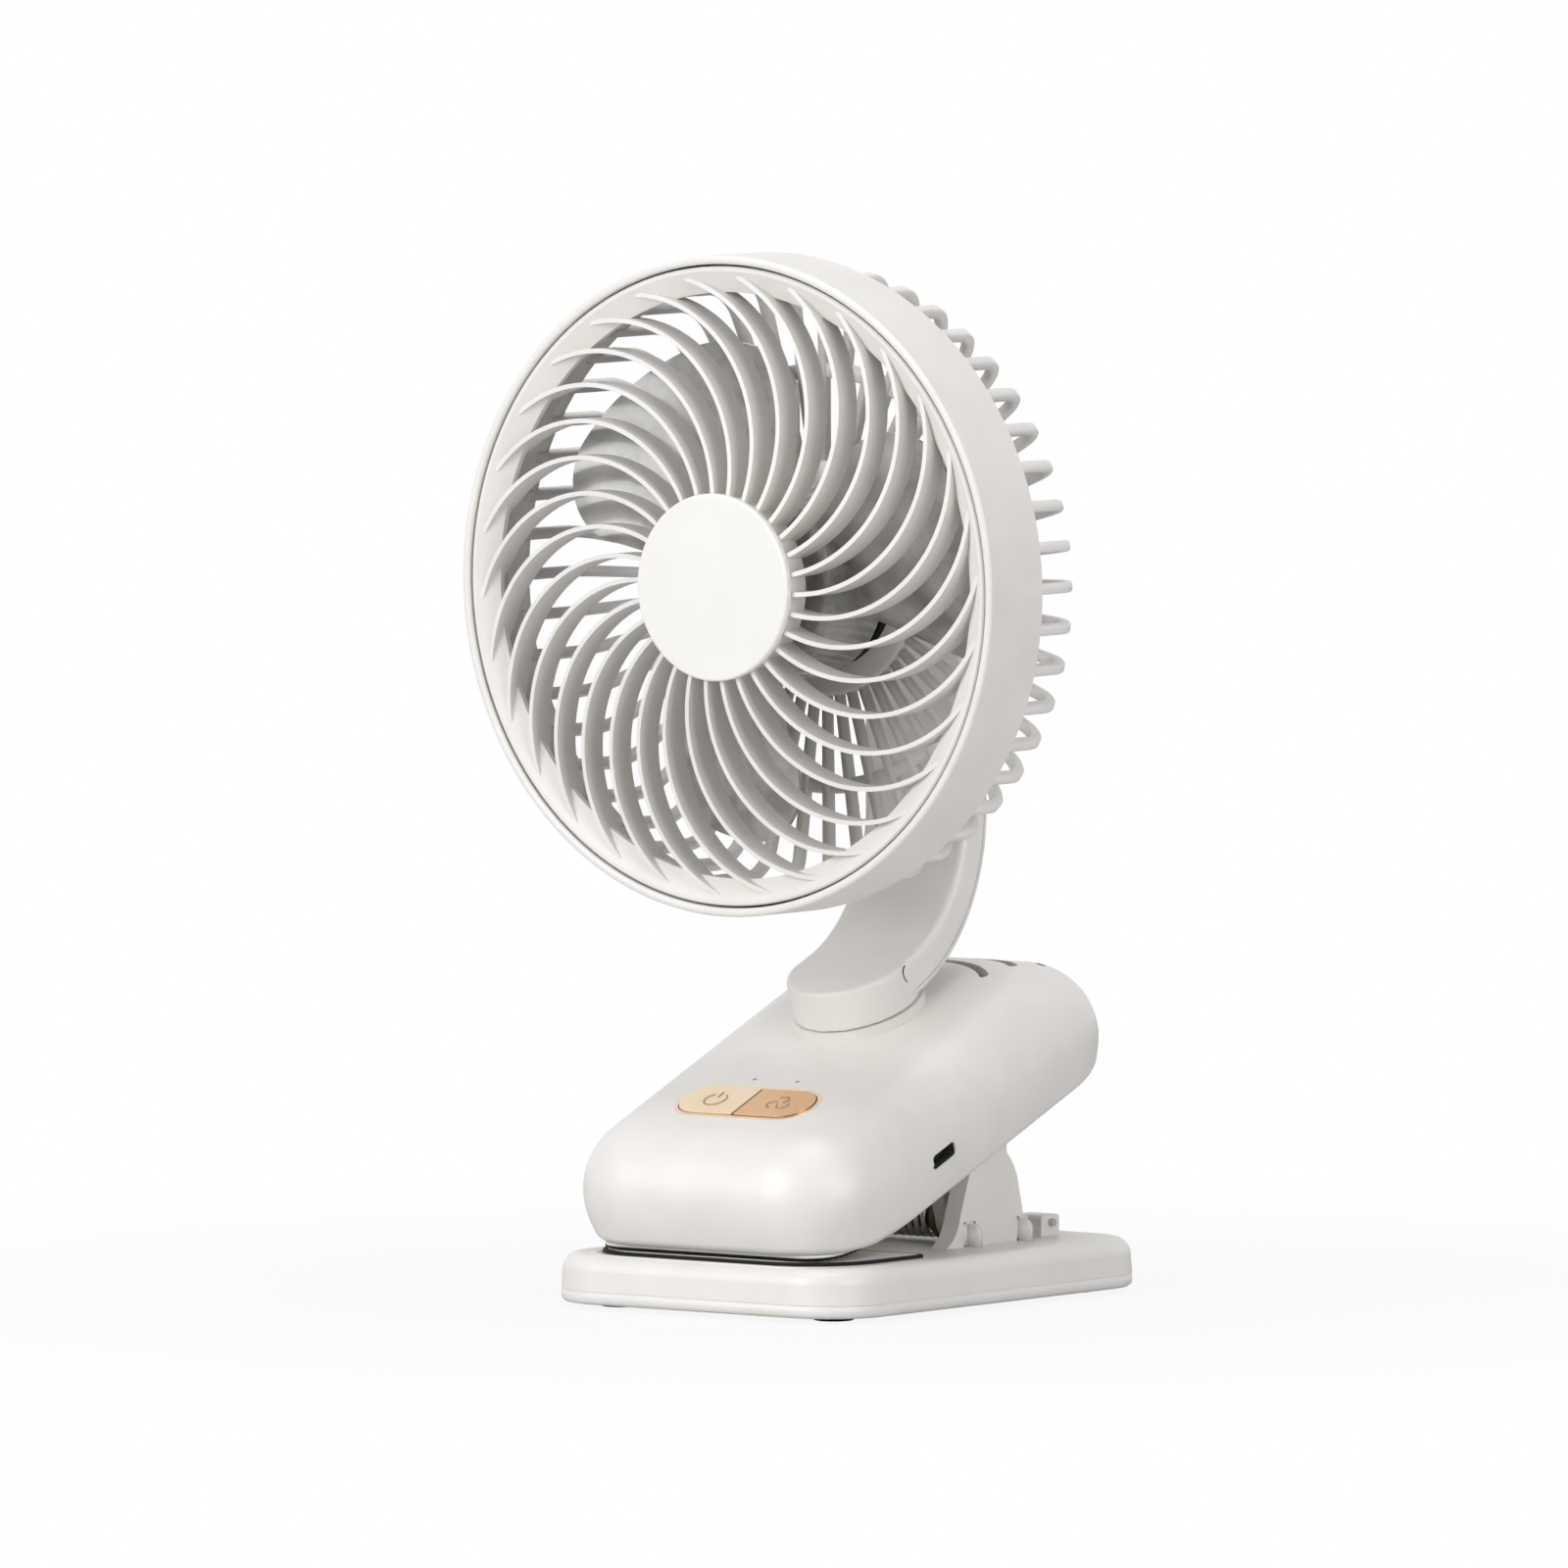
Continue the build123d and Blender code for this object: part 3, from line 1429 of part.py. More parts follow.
def make_spring_bush():
    """Bronze sleeve inside the coil, with a flange at each end."""
    reach = lug_inner_x - side_gap
    with BuildPart() as bush:
        with BuildSketch(across(-reach)):
            with Locations((hinge_y, hinge_z)):
                Circle(bush_r)
        extrude(amount=2 * reach)
        for side in (-1, 1):
            with BuildSketch(across(side * reach)):
                with Locations((hinge_y, hinge_z)):
                    Circle(bush_flange_r)
            extrude(amount=-side * bush_flange_thick)
        with BuildSketch(across(-reach)):
            with Locations((hinge_y, hinge_z)):
                Circle(hinge_pin_r + 0.02)
        extrude(amount=2 * reach, mode=Mode.SUBTRACT)
    return bush


def make_anchor_bar():
    """Steel bar across the rear of the plate that the spring's lower leg hooks under."""
    with BuildPart() as bar:
        with BuildSketch(across(-anchor_half_length)):
            with Locations((anchor_y, anchor_z)):
                Circle(anchor_r)
        extrude(amount=2 * anchor_half_length)
    return bar


def coil_point(turn):
    """Point of the coil's middle line and its direction, turn counted from the upper leg."""
    first = radians(90 + leg_angle)
    total = coil_turns + (270 - 90 - leg_angle) / 360
    pitch = 2 * coil_half_length / total
    angle = first + 2 * pi * turn
    point = Vector(
        coil_half_length - pitch * turn,
        hinge_y + coil_r * cos(angle),
        hinge_z + coil_r * sin(angle),
    )
    run = Vector(-pitch, -2 * pi * coil_r * sin(angle), 2 * pi * coil_r * cos(angle))
    return point, run.normalized()


def biarc_joint(start, start_run, end, end_run):
    """Point where two tangent arcs between two directed points meet."""
    chord = end - start
    both = start_run + end_run
    a = 2 - 2 * start_run.dot(end_run)
    b = 2 * chord.dot(both)
    c = -chord.dot(chord)
    length = (-b + sqrt(b * b - 4 * a * c)) / (2 * a)
    return (start + start_run * length + end - end_run * length) / 2


def make_torsion_spring():
    """The visible spring: one unbroken wire, its legs against the housing and the bar."""
    total = coil_turns + (270 - 90 - leg_angle) / 360
    steps = round(total * 4)
    stations = [coil_point(total * i / steps) for i in range(steps + 1)]
    gap = min(
        (stations[i][0] - stations[j][0]).length
        for i in range(len(stations))
        for j in range(i + 3, len(stations))
    ) - 2 * wire_r
    print("spring: turns", round(total, 2), "least gap to itself", round(gap, 2))
    top, top_run = stations[0]
    end, end_run = stations[-1]
    upper_end = top - top_run * upper_leg_length
    lower_end = end + Vector(0, anchor_y + 3 - end.Y, 0)
    with BuildPart() as spring:
        with BuildLine() as path:
            Line(upper_end, top)
            for (a, a_run), (b, b_run) in zip(stations, stations[1:]):
                joint = biarc_joint(a, a_run, b, b_run)
                first_arc = TangentArc(a, joint, tangent=a_run)
                TangentArc(joint, b, tangent=first_arc % 1)
            Line(end, lower_end)
        with BuildSketch(Plane(origin=upper_end, z_dir=top_run)):
            Circle(wire_r)
        sweep(path=path.wire())
    return spring


export_list = {}


def keep(name, made):
    """Label a finished piece and remember it for export."""
    made.part.label = name
    export_list[name] = made.part


keep("front_grille", make_front_grille())
keep("grille_cap", make_grille_cap())
keep("drum_ring", make_drum_ring())
keep("rear_grille", make_rear_grille())
keep("grille_screws", make_grille_screws())
keep("motor_base", make_motor_base())
keep("motor_screws", make_motor_screws())
keep("motor_stator", make_stator())
keep("motor_windings", make_windings())
keep("motor_bearing", make_bearing())
keep("motor_shaft", make_shaft())
keep("rotor_can", make_rotor_can())
keep("magnet_ring", make_magnet_ring())
keep("impeller", make_impeller())
keep("tilt_knuckle", make_tilt_knuckle())
keep("tilt_washers", make_tilt_washers())
keep("tilt_pin", make_tilt_pin())
keep("tilt_nut", make_tilt_nut())
keep("arm_shell", make_arm_shell())
keep("arm_cover", make_arm_cover())
keep("swivel_post", make_swivel_post())
keep("swivel_retainer", make_swivel_retainer())
keep("upper_shell", make_upper_shell())
keep("lower_cover", make_lower_cover())
keep("shell_screws", make_shell_screws())
keep("upper_pad", make_upper_pad())
keep("battery", make_battery())
keep("control_board", make_control_board())
keep("key_switches", make_key_switches())
keep("light_pipes", make_light_pipes())
keep("charge_board", make_charge_board())
keep("usb_socket", make_usb_socket())
keep("key_bezel", make_key_bezel())
keep("power_key", make_key(-1))
keep("mode_key", make_key(1))
keep("base_plate", make_base_plate())
keep("lower_pad", make_lower_pad())
keep("pad_facing", make_pad_facing())
keep("base_cover", make_base_cover())
keep("base_screws", make_base_screws())
keep("rubber_feet", make_rubber_feet())
keep("hinge_pin", make_hinge_pin())
keep("spring_bush", make_spring_bush())
keep("anchor_bar", make_anchor_bar())
keep("torsion_spring", make_torsion_spring())

os.makedirs("parts", exist_ok=True)
for piece_name, piece in export_list.items():
    export_step(piece, f"parts/{piece_name}.step")
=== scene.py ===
# %% [markdown]
# # A clip fan, dressed for the camera
# The solids of this fan already exist: a round head with swirl vanes, a C-shaped arm, a
# wedge-shaped housing and a foot with a spring hinge between them. This lesson loads them as a
# fixed frame, gives each piece its real finish, and remakes in mesh code the pieces whose
# softness a plain solid can't show. Everything is in metres.

# %% Load the solids
from math import cos, pi, radians, sin, sqrt, tan

import bmesh
import bpy
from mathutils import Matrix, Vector


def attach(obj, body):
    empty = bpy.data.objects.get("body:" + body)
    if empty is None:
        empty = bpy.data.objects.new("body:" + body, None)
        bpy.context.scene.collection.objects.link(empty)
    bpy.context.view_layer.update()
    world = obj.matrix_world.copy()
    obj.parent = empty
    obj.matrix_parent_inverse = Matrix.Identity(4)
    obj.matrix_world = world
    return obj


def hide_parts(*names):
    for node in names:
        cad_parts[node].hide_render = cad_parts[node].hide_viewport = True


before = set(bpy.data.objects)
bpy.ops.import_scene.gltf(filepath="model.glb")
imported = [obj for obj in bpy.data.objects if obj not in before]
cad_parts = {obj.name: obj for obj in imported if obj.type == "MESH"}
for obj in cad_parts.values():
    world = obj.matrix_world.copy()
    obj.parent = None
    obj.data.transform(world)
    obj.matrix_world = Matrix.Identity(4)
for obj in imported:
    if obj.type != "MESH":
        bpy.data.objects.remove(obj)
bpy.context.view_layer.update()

# %% [markdown]
# ## A moulded plastic
# Almost everything here is injection-moulded plastic with a fine satin texture: the mould is
# blasted, so light spreads in a soft highlight. One noise at a scale well under a millimetre
# gives the bump, and a second, much wider one moves the colour and the roughness a little, as
# flow and handling do. A photographed texture could do the same, but noise needs no image and
# has no seams.

# %% A recipe for mouldings, rubbers and metals
tone_stops = (0.35, 0.65)
grain_strength = 0.35


def set_inputs(shader, values):
    """Write plain numbers and colours straight on the shader's sockets."""
    for socket, value in values.items():
        shader.inputs[socket].default_value = value


def finish(name, dark, light, rough, grain, depth, patch=60.0, sockets=()):
    """A surface with fine grain, and slow changes of tone between two near colours.

    rough holds the least and the most roughness, grain and patch are the scales of the fine and
    the wide noise, and depth is the height of the grain in metres.
    """
    made = bpy.data.materials.new(name)
    made.use_nodes = True
    tree = made.node_tree
    shader = tree.nodes["Principled BSDF"]
    own_space = tree.nodes.new("ShaderNodeTexCoord")
    fine = tree.nodes.new("ShaderNodeTexNoise")
    fine.inputs["Scale"].default_value = grain
    fine.inputs["Detail"].default_value = 4.0
    wide = tree.nodes.new("ShaderNodeTexNoise")
    wide.inputs["Scale"].default_value = patch
    wide.inputs["Detail"].default_value = 3.0
    tone = tree.nodes.new("ShaderNodeValToRGB")
    for stop, position, colour in zip(tone.color_ramp.elements, tone_stops, (dark, light)):
        stop.position = position
        stop.color = (*colour, 1)
    gloss = tree.nodes.new("ShaderNodeMapRange")
    gloss.inputs["To Min"].default_value = rough[0]
    gloss.inputs["To Max"].default_value = rough[1]
    bump = tree.nodes.new("ShaderNodeBump")
    bump.inputs["Strength"].default_value = grain_strength
    bump.inputs["Distance"].default_value = depth
    join = tree.links.new
    join(own_space.outputs["Object"], fine.inputs["Vector"])
    join(own_space.outputs["Object"], wide.inputs["Vector"])
    join(wide.outputs["Fac"], tone.inputs["Fac"])
    join(tone.outputs["Color"], shader.inputs["Base Color"])
    join(wide.outputs["Fac"], gloss.inputs["Value"])
    join(gloss.outputs["Result"], shader.inputs["Roughness"])
    join(fine.outputs["Fac"], bump.inputs["Height"])
    join(bump.outputs["Normal"], shader.inputs["Normal"])
    set_inputs(shader, dict(sockets))
    print("finish", name)
    return made


def dress(material, *nodes):
    """Give whole solids one finish."""
    for node in nodes:
        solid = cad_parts[node]
        solid.data.materials.clear()
        solid.data.materials.append(material)

# %% [markdown]
# ## The off-white of the shell
# The shell is a warm off-white, neither cream nor grey. Written in linear light it is about
# 0.76, 0.74, 0.71, which shows as a light warm grey where the light rakes it and nearly white
# where it faces the lamp. The blades are glossier than the shell, and their colour is painted a
# darker grey than their plastic: painted shade, for the shade inside the drum behind the vanes.

# %% Shell, disc and blades
shell_white = finish(
    "shell_white", (0.745, 0.722, 0.69), (0.775, 0.755, 0.725), (0.33, 0.42), 2600, 0.00003,
    sockets={"Specular IOR Level": 0.5},
)
disc_white = finish(
    "disc_white", (0.80, 0.785, 0.755), (0.82, 0.805, 0.78), (0.30, 0.36), 1800, 0.00002,
    sockets={"Specular IOR Level": 0.5},
)
# Blades: a dark grey as painted shade, for the shade inside the drum behind the vanes.
blade_grey_painted_shade = finish(
    "blade_grey_painted_shade", (0.25, 0.245, 0.235), (0.47, 0.46, 0.44), (0.14, 0.24), 900, 0.00002, patch=80,
    sockets={"Coat Weight": 0.6, "Coat Roughness": 0.10},
)
dress(
    shell_white, "front_grille", "drum_ring", "rear_grille", "tilt_knuckle", "arm_shell",
    "arm_cover", "upper_shell", "lower_cover", "base_plate", "base_cover",
)
dress(disc_white, "grille_cap")
dress(blade_grey_painted_shade, "impeller")

# %% [markdown]
# ## Gold keys and their rim
# The two keys are plastic with a light gold coating: a metal look, but a soft one, so the
# metallic share is high and the roughness moderate. The one gold is given twice: a paler, less
# metallic copy on the left key as painted highlight, a deeper copy on the right key as painted
# shade.

# %% Gold
# Painted highlight: a paler, less metallic copy of the keys' gold, for the left key.
key_gold_painted_highlight = finish(
    "key_gold_painted_highlight", (0.82, 0.67, 0.47), (0.88, 0.74, 0.55), (0.30, 0.38), 3000, 0.00002,
    sockets={"Metallic": 0.45},
)
# Painted shade: a deeper, more metallic copy of the same gold, for the right key.
key_gold_painted_shade = finish(
    "key_gold_painted_shade", (0.66, 0.40, 0.21), (0.74, 0.48, 0.27), (0.26, 0.34), 3000, 0.00002,
    sockets={"Metallic": 0.8},
)
rim_gold = finish(
    "rim_gold", (0.80, 0.60, 0.42), (0.86, 0.67, 0.49), (0.20, 0.28), 3000, 0.00002,
    sockets={"Metallic": 0.9},
)
mark_brown = finish(
    "mark_brown", (0.34, 0.20, 0.11), (0.40, 0.25, 0.14), (0.35, 0.45), 3000, 0.00001,
    sockets={"Metallic": 0.6},
)
dress(key_gold_painted_highlight, "power_key")
dress(key_gold_painted_shade, "mode_key")
dress(rim_gold, "key_bezel")

# %% [markdown]
# ## Rubber, metals and the inner pieces
# The pads are black rubber with a pale facing. The spring is bright drawn wire, the bush is
# oily bronze. Black rubber and plastic get little specular, or the white room would turn them
# grey. The pieces inside the housing are hardly seen, yet they get their own finish, as someone
# may open the model up.

# %% Rubber and metals
pad_black = finish(
    "pad_black", (0.005, 0.005, 0.005), (0.009, 0.009, 0.009), (0.6, 0.75), 1500, 0.00006,
    sockets={"Specular IOR Level": 0.2},
)
pad_cream = finish("pad_cream", (0.74, 0.70, 0.62), (0.79, 0.75, 0.67), (0.6, 0.7), 1500, 0.00005)
wire_steel = finish(
    "wire_steel", (0.52, 0.52, 0.52), (0.62, 0.62, 0.62), (0.20, 0.32), 2500, 0.00002,
    sockets={"Metallic": 1.0},
)
turned_steel = finish(
    "turned_steel", (0.45, 0.45, 0.46), (0.56, 0.56, 0.57), (0.28, 0.42), 2000, 0.00003,
    sockets={"Metallic": 1.0},
)
bush_bronze = finish(
    "bush_bronze", (0.15, 0.095, 0.055), (0.26, 0.18, 0.11), (0.35, 0.5), 2200, 0.00004,
    sockets={"Metallic": 0.9},
)
dress(pad_black, "upper_pad", "lower_pad", "rubber_feet")
dress(pad_cream, "pad_facing")
dress(wire_steel, "torsion_spring")
dress(
    turned_steel, "hinge_pin", "anchor_bar", "tilt_pin", "tilt_nut", "tilt_washers",
    "swivel_post", "swivel_retainer", "motor_shaft", "rotor_can",
    "grille_screws", "motor_screws", "shell_screws", "base_screws",
)
dress(bush_bronze, "spring_bush", "motor_bearing")

# %% Inside the housing and the motor
board_green = finish(
    "board_green", (0.01, 0.09, 0.035), (0.015, 0.12, 0.05), (0.3, 0.4), 900, 0.00003,
)
coil_copper = finish(
    "coil_copper", (0.45, 0.15, 0.05), (0.60, 0.24, 0.09), (0.25, 0.35), 1200, 0.00008,
    sockets={"Metallic": 0.9},
)
stack_steel = finish(
    "stack_steel", (0.08, 0.08, 0.085), (0.13, 0.13, 0.135), (0.45, 0.6), 1600, 0.00006,
    sockets={"Metallic": 0.6},
)
cell_blue = finish("cell_blue", (0.03, 0.10, 0.30), (0.04, 0.13, 0.36), (0.25, 0.33), 500, 0.00003)
# Black plastic for the inner parts; on the arm's slit and the charging slot it is also painted
# shade.
dark_plastic_and_painted_shade = finish(
    "dark_plastic_and_painted_shade", (0.006, 0.006, 0.006), (0.010, 0.010, 0.010), (0.45, 0.6), 1500, 0.00005,
    sockets={"Specular IOR Level": 0.15},
)
light_clear = finish(
    "light_clear", (0.50, 0.52, 0.52), (0.60, 0.62, 0.62), (0.08, 0.14), 500, 0.00001,
    sockets={"Transmission Weight": 0.6},
)
dress(board_green, "control_board", "charge_board")
dress(coil_copper, "motor_windings")
dress(stack_steel, "motor_stator", "magnet_ring")
dress(cell_blue, "battery")
dress(dark_plastic_and_painted_shade, "motor_base", "key_switches", "usb_socket")
dress(light_clear, "light_pipes")

# %% [markdown]
# ## Soft and wound pieces, made again
# Some pieces need more than a finish. The spring, the grip pads and the feet are remade here as
# meshes in the place of their solids. They all come from one idea: a closed ring of points is
# moved and resized step by step, and neighbouring rings are joined by quads. Extruding by hand
# in the viewport would give the same faces; rings written as code keep the sizes readable.

# %% Skin over rings
weld_gap = 1e-7


def skin(name, rings, closed=True):
    """A mesh from rings with the same number of points; the first and last ring are filled."""
    points = [point for ring in rings for point in ring]
    count = len(rings[0])
    faces = [
        (row * count + i, row * count + (i + 1) % count,
         (row + 1) * count + (i + 1) % count, (row + 1) * count + i)
        for row in range(len(rings) - 1)
        for i in range(count)
    ]
    if closed:
        faces.append(tuple(reversed(range(count))))
        faces.append(tuple(range(len(points) - count, len(points))))
    mesh = bpy.data.meshes.new(name)
    mesh.from_pydata(points, [], faces)
    return mesh


print("points nearer than", weld_gap, "m are welded")

# %% From meshes to a piece
def place(name, meshes, material, slot, body, *nodes, soft_angle=35):
    """Join meshes into one piece, shade it smooth, and let it stand for its solids."""
    sheet = bmesh.new()
    for mesh in meshes:
        sheet.from_mesh(mesh)
    bmesh.ops.remove_doubles(sheet, verts=sheet.verts, dist=weld_gap)
    bmesh.ops.recalc_face_normals(sheet, faces=sheet.faces)
    whole = bpy.data.meshes.new(name)
    sheet.to_mesh(whole)
    sheet.free()
    whole.shade_smooth()
    piece = bpy.data.objects.new(name, whole)
    bpy.context.collection.objects.link(piece)
    piece.data.materials.append(material)
    with bpy.context.temp_override(object=piece, active_object=piece, selected_objects=[piece]):
        bpy.ops.object.shade_auto_smooth(angle=radians(soft_angle))
    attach(piece, body)
    if nodes:
        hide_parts(*nodes)
    print(name, len(whole.vertices), "points")
    return piece

# %% [markdown]
# ### The spring
# A torsion spring is one unbroken wire: a straight leg, a little over ten turns round the pin,
# and a second leg. Its middle line is a helix, which has a plain formula, so the wire is a
# curve with a round bevel. A Screw modifier could make the turns too, but its legs would be
# separate pieces that never quite meet.

# %% Spring wire
pin_y, pin_z = 0.0225, 0.0215
wire_r, turn_r = 0.0009, 0.0053
coil_half, turns = 0.0126, 10 + 130 / 360
leg_slant = radians(50)
leg_up, leg_end_y = 0.0352, 0.0546
steps_per_turn = 36


def on_coil(turn):
    """A point of the wire's middle line, counted in turns from the upper leg."""
    angle = pi / 2 + leg_slant + 2 * pi * turn
    x = coil_half - 2 * coil_half / turns * turn
    return Vector((x, pin_y + turn_r * cos(angle), pin_z + turn_r * sin(angle)))


steps = round(turns * steps_per_turn)
coil = [on_coil(turns * i / steps) for i in range(steps + 1)]
upper_end = coil[0] + (coil[0] - coil[1]).normalized() * leg_up
lower_end = Vector((coil[-1].x, leg_end_y, coil[-1].z))
wire = bpy.data.curves.new("spring", "CURVE")
wire.dimensions = "3D"
wire.bevel_depth = wire_r
wire.bevel_resolution = 5
wire.use_fill_caps = True
line = wire.splines.new("POLY")
path = [upper_end, *coil, lower_end]
line.points.add(len(path) - 1)
for node, point in zip(line.points, path):
    node.co = (*point, 1)
spring = bpy.data.objects.new("spring", wire)
bpy.context.collection.objects.link(spring)
wire.materials.append(wire_steel)
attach(spring, "base")
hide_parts("torsion_spring")
print("spring:", round(turns, 2), "turns,", len(path), "points")

# %% [markdown]
# ### The grip pads
# A board is held between two pads. The lower one is a black tray with a pale facing, the upper
# one is a thin black sheet on a pale carrier that follows the arc of the belly. Both grip with
# fine ribs across the clip. A bump could fake the ribs, but the jaw opens towards the viewer,
# so they are real: the strip's height steps up and down along its length.

# %% Outline of a pad
corner_steps = 8


def pad_outline(half_width, front, rear, front_r, rear_r, inset, height):
    """Points round a pad with its own corner radii in front and behind."""
    corners = [
        (half_width - front_r, front + front_r, front_r, -90),
        (half_width - rear_r, rear - rear_r, rear_r, 0),
        (-half_width + rear_r, rear - rear_r, rear_r, 90),
        (-half_width + front_r, front + front_r, front_r, 180),
    ]
    ring = []
    for x, y, r, start in corners:
        for i in range(corner_steps + 1):
            angle = radians(start + 90 * i / corner_steps)
            ring.append((x + (r - inset) * cos(angle), y + (r - inset) * sin(angle), height))
    return ring


print("a pad's outline has", 4 * (corner_steps + 1), "points")

# %% Black tray of the lower pad
tray = {"half_width": 0.042, "front": -0.065, "rear": -0.021, "front_r": 0.020, "rear_r": 0.003}
tray_low, tray_top, tray_floor = 0.0138, 0.0155, 0.0009
rim, rim_round = 0.0012, 0.0003
rings = [
    pad_outline(**tray, inset=0, height=tray_low),
    pad_outline(**tray, inset=0, height=tray_top - rim_round),
    pad_outline(**tray, inset=rim_round * 0.3, height=tray_top - rim_round * 0.3),
    pad_outline(**tray, inset=rim_round, height=tray_top),
    pad_outline(**tray, inset=rim, height=tray_top),
    pad_outline(**tray, inset=rim, height=tray_low + tray_floor),
]
place("pad_tray", [skin("pad_tray", rings)], pad_black, "black_rubber", "base", "lower_pad")

# %% Pale edge between the tray and the plate
seat = {"half_width": 0.042, "front": -0.067, "rear": -0.021, "front_r": 0.014, "rear_r": 0.003}
plate_top, overlap = 0.0146, 0.00005
edge_rings = [
    pad_outline(**seat, inset=0, height=tray_low),
    pad_outline(**seat, inset=0, height=plate_top),
    pad_outline(**tray, inset=overlap, height=plate_top),
    pad_outline(**tray, inset=overlap, height=tray_low),
]
edge_rings.append(edge_rings[0])
edge_mesh = skin("tray_edge", edge_rings, closed=False)
place("tray_edge", [edge_mesh], shell_white, "shell", "base")

# %% Ribbed strips
rib_steps = (0.12, 0.28, 0.62, 0.78)
strip_edge = 0.0002


def ribbed_strip(name, width_at, low_at, high_at, front, rear, pitch, depth, ribs_up=False):
    """A sheet with ribs across it; the three functions of y give its half width and faces."""
    rows = []
    count = int((rear - front) / pitch)
    step = (rear - front) / count
    marks = [front]
    for i in range(count):
        marks += [front + step * (i + share) for share in rib_steps]
    marks.append(rear)
    for i, y in enumerate(marks):
        sunk = depth if i % 4 in (0, 1) and 0 < i < len(marks) - 1 else 0.0
        low = low_at(y) + (0 if ribs_up else sunk)
        high = high_at(y) - (sunk if ribs_up else 0)
        half = width_at(y)
        inner = half - strip_edge
        rows.append([
            (inner, y, low), (half, y, low + strip_edge), (half, y, high - strip_edge),
            (inner, y, high), (-inner, y, high), (-half, y, high - strip_edge),
            (-half, y, low + strip_edge), (-inner, y, low),
        ])
    return skin(name, rows)


def rounded_width(half, front, rear, front_r, rear_r):
    """Half width of a rounded sheet at y."""
    def width(y):
        for end, r in ((front, front_r), (rear, rear_r)):
            near = abs(y - end)
            if near < r:
                return half - r + sqrt(r * r - (r - near) ** 2)
        return half
    return width


print("each rib takes", len(rib_steps), "steps of the strip")

# %% Pale facing
face_front, face_rear = -0.0638, -0.0222
face_half, face_thick = 0.0408, 0.0008
face_front_r, face_rear_r = 0.0188, 0.0018
facing = ribbed_strip(
    "pad_facing", rounded_width(face_half, face_front, face_rear, face_front_r, face_rear_r),
    lambda y: tray_top - face_thick, lambda y: tray_top, face_front, face_rear,
    pitch=0.0018, depth=0.0003, ribs_up=True,
)
place("facing_sheet", [facing], pad_cream, "cream_rubber", "base", "pad_facing")

# %% Arc of the belly
body_slope = radians(22.4)
belly_r, belly_low_y, belly_low_z = 0.110, -0.06715, 0.0172
belly_rear_y = belly_low_y + belly_r * sin(body_slope)


def belly(y):
    """Height of the belly over y: an arc, then the slope."""
    on_arc = min(y, belly_rear_y) - belly_low_y
    height = belly_low_z + belly_r - sqrt(belly_r ** 2 - on_arc ** 2)
    return height + max(0, y - belly_rear_y) * tan(body_slope)


print("the arc ends at y", round(belly_rear_y * 1000, 1), "mm, height",
      round(belly(belly_rear_y) * 1000, 1), "mm")

# %% Black grip and its pale carrier
grip_half, grip_front, grip_rear, grip_r = 0.038, -0.062, -0.024, 0.009
sheet_thick, grip_thick, bond = 0.0014, 0.0006, 0.00002
grip_width = rounded_width(grip_half, grip_front, grip_rear, grip_r, grip_r)
sheet = ribbed_strip(
    "upper_grip", grip_width,
    lambda y: belly(y) - sheet_thick, lambda y: belly(y) - sheet_thick + grip_thick,
    grip_front, grip_rear, pitch=0.0020, depth=0.0003,
)
place("upper_grip", [sheet], pad_black, "black_rubber", "clip_body", "upper_pad")
carrier = ribbed_strip(
    "grip_carrier", grip_width,
    lambda y: belly(y) - sheet_thick + grip_thick, lambda y: belly(y) - bond,
    grip_front, grip_rear, pitch=0.0020, depth=0.0,
)
place("grip_carrier", [carrier], shell_white, "shell", "clip_body", "upper_pad")

# %% [markdown]
# ### The feet
# Four round rubber feet keep the fan from walking. Each is turned from a small profile with a
# rounded rim and a shallow ring in its sole.

# %% Rubber feet
foot_profile = [
    (0.0, 0.00025), (0.0030, 0.00025), (0.0034, 0.0), (0.0049, 0.0), (0.0053, 0.00015),
    (0.0055, 0.0005), (0.0055, 0.0022), (0.0, 0.0022),
]
around, least_r = 40, 0.00002
foot_x, foot_y = 0.035, 0.053


def turned(name, profile, x, y):
    """A round piece from radii and heights, standing at x, y."""
    rings = [
        [(x + max(r, least_r) * cos(2 * pi * i / around),
          y + max(r, least_r) * sin(2 * pi * i / around), z) for i in range(around)]
        for r, z in profile
    ]
    return skin(name, rings)


feet = [
    turned("foot", foot_profile, x, y) for x in (-foot_x, foot_x) for y in (-foot_y, foot_y)
]
place("feet", feet, pad_black, "black_rubber", "base", "rubber_feet")

# %% [markdown]
# ### The closing plate
# Under the foot a plate closes the moulding. Seen from the side its wall runs on flush from
# the foot's wall, turns under with a small radius, and stops just above the table, with a
# groove round the flat middle. It is one skin over rings, each a rounded rectangle.

# %% Closing plate
foot_form = {
    "half_width": 0.051, "front": -0.070, "rear": 0.070, "front_r": 0.018, "rear_r": 0.018,
}
plate_rings = [
    (0.0003, 0.0050), (0.0, 0.0049), (0.0, 0.0028), (0.0003, 0.0021), (0.0010, 0.0016),
    (0.0022, 0.0014), (0.0040, 0.0014), (0.0042, 0.0018), (0.0048, 0.0018), (0.0050, 0.0014),
]
rings = [pad_outline(**foot_form, inset=inset, height=z) for inset, z in plate_rings]
place("closing_plate", [skin("closing_plate", rings)], shell_white, "shell", "base", "base_cover")

# %% [markdown]
# ### Gussets beside the ears
# A small rounded rib props each ear at either end of its foot. The rib fills the pocket in the
# ear and stands out from it, so a root block and the rib are made together.

# %% Gussets
ear_face, pocket_floor, pocket_half, pocket_high = 0.0310, 0.0294, 0.0025, 0.0065
gusset_out, gusset_top, gusset_thick, gusset_r = 0.0039, 0.0205, 0.0017, 0.0027
gusset_low, gusset_steps = plate_top - 0.0002, 8
gusset_rows = ((0.0125, 0.0111), (0.0360, 0.0338))


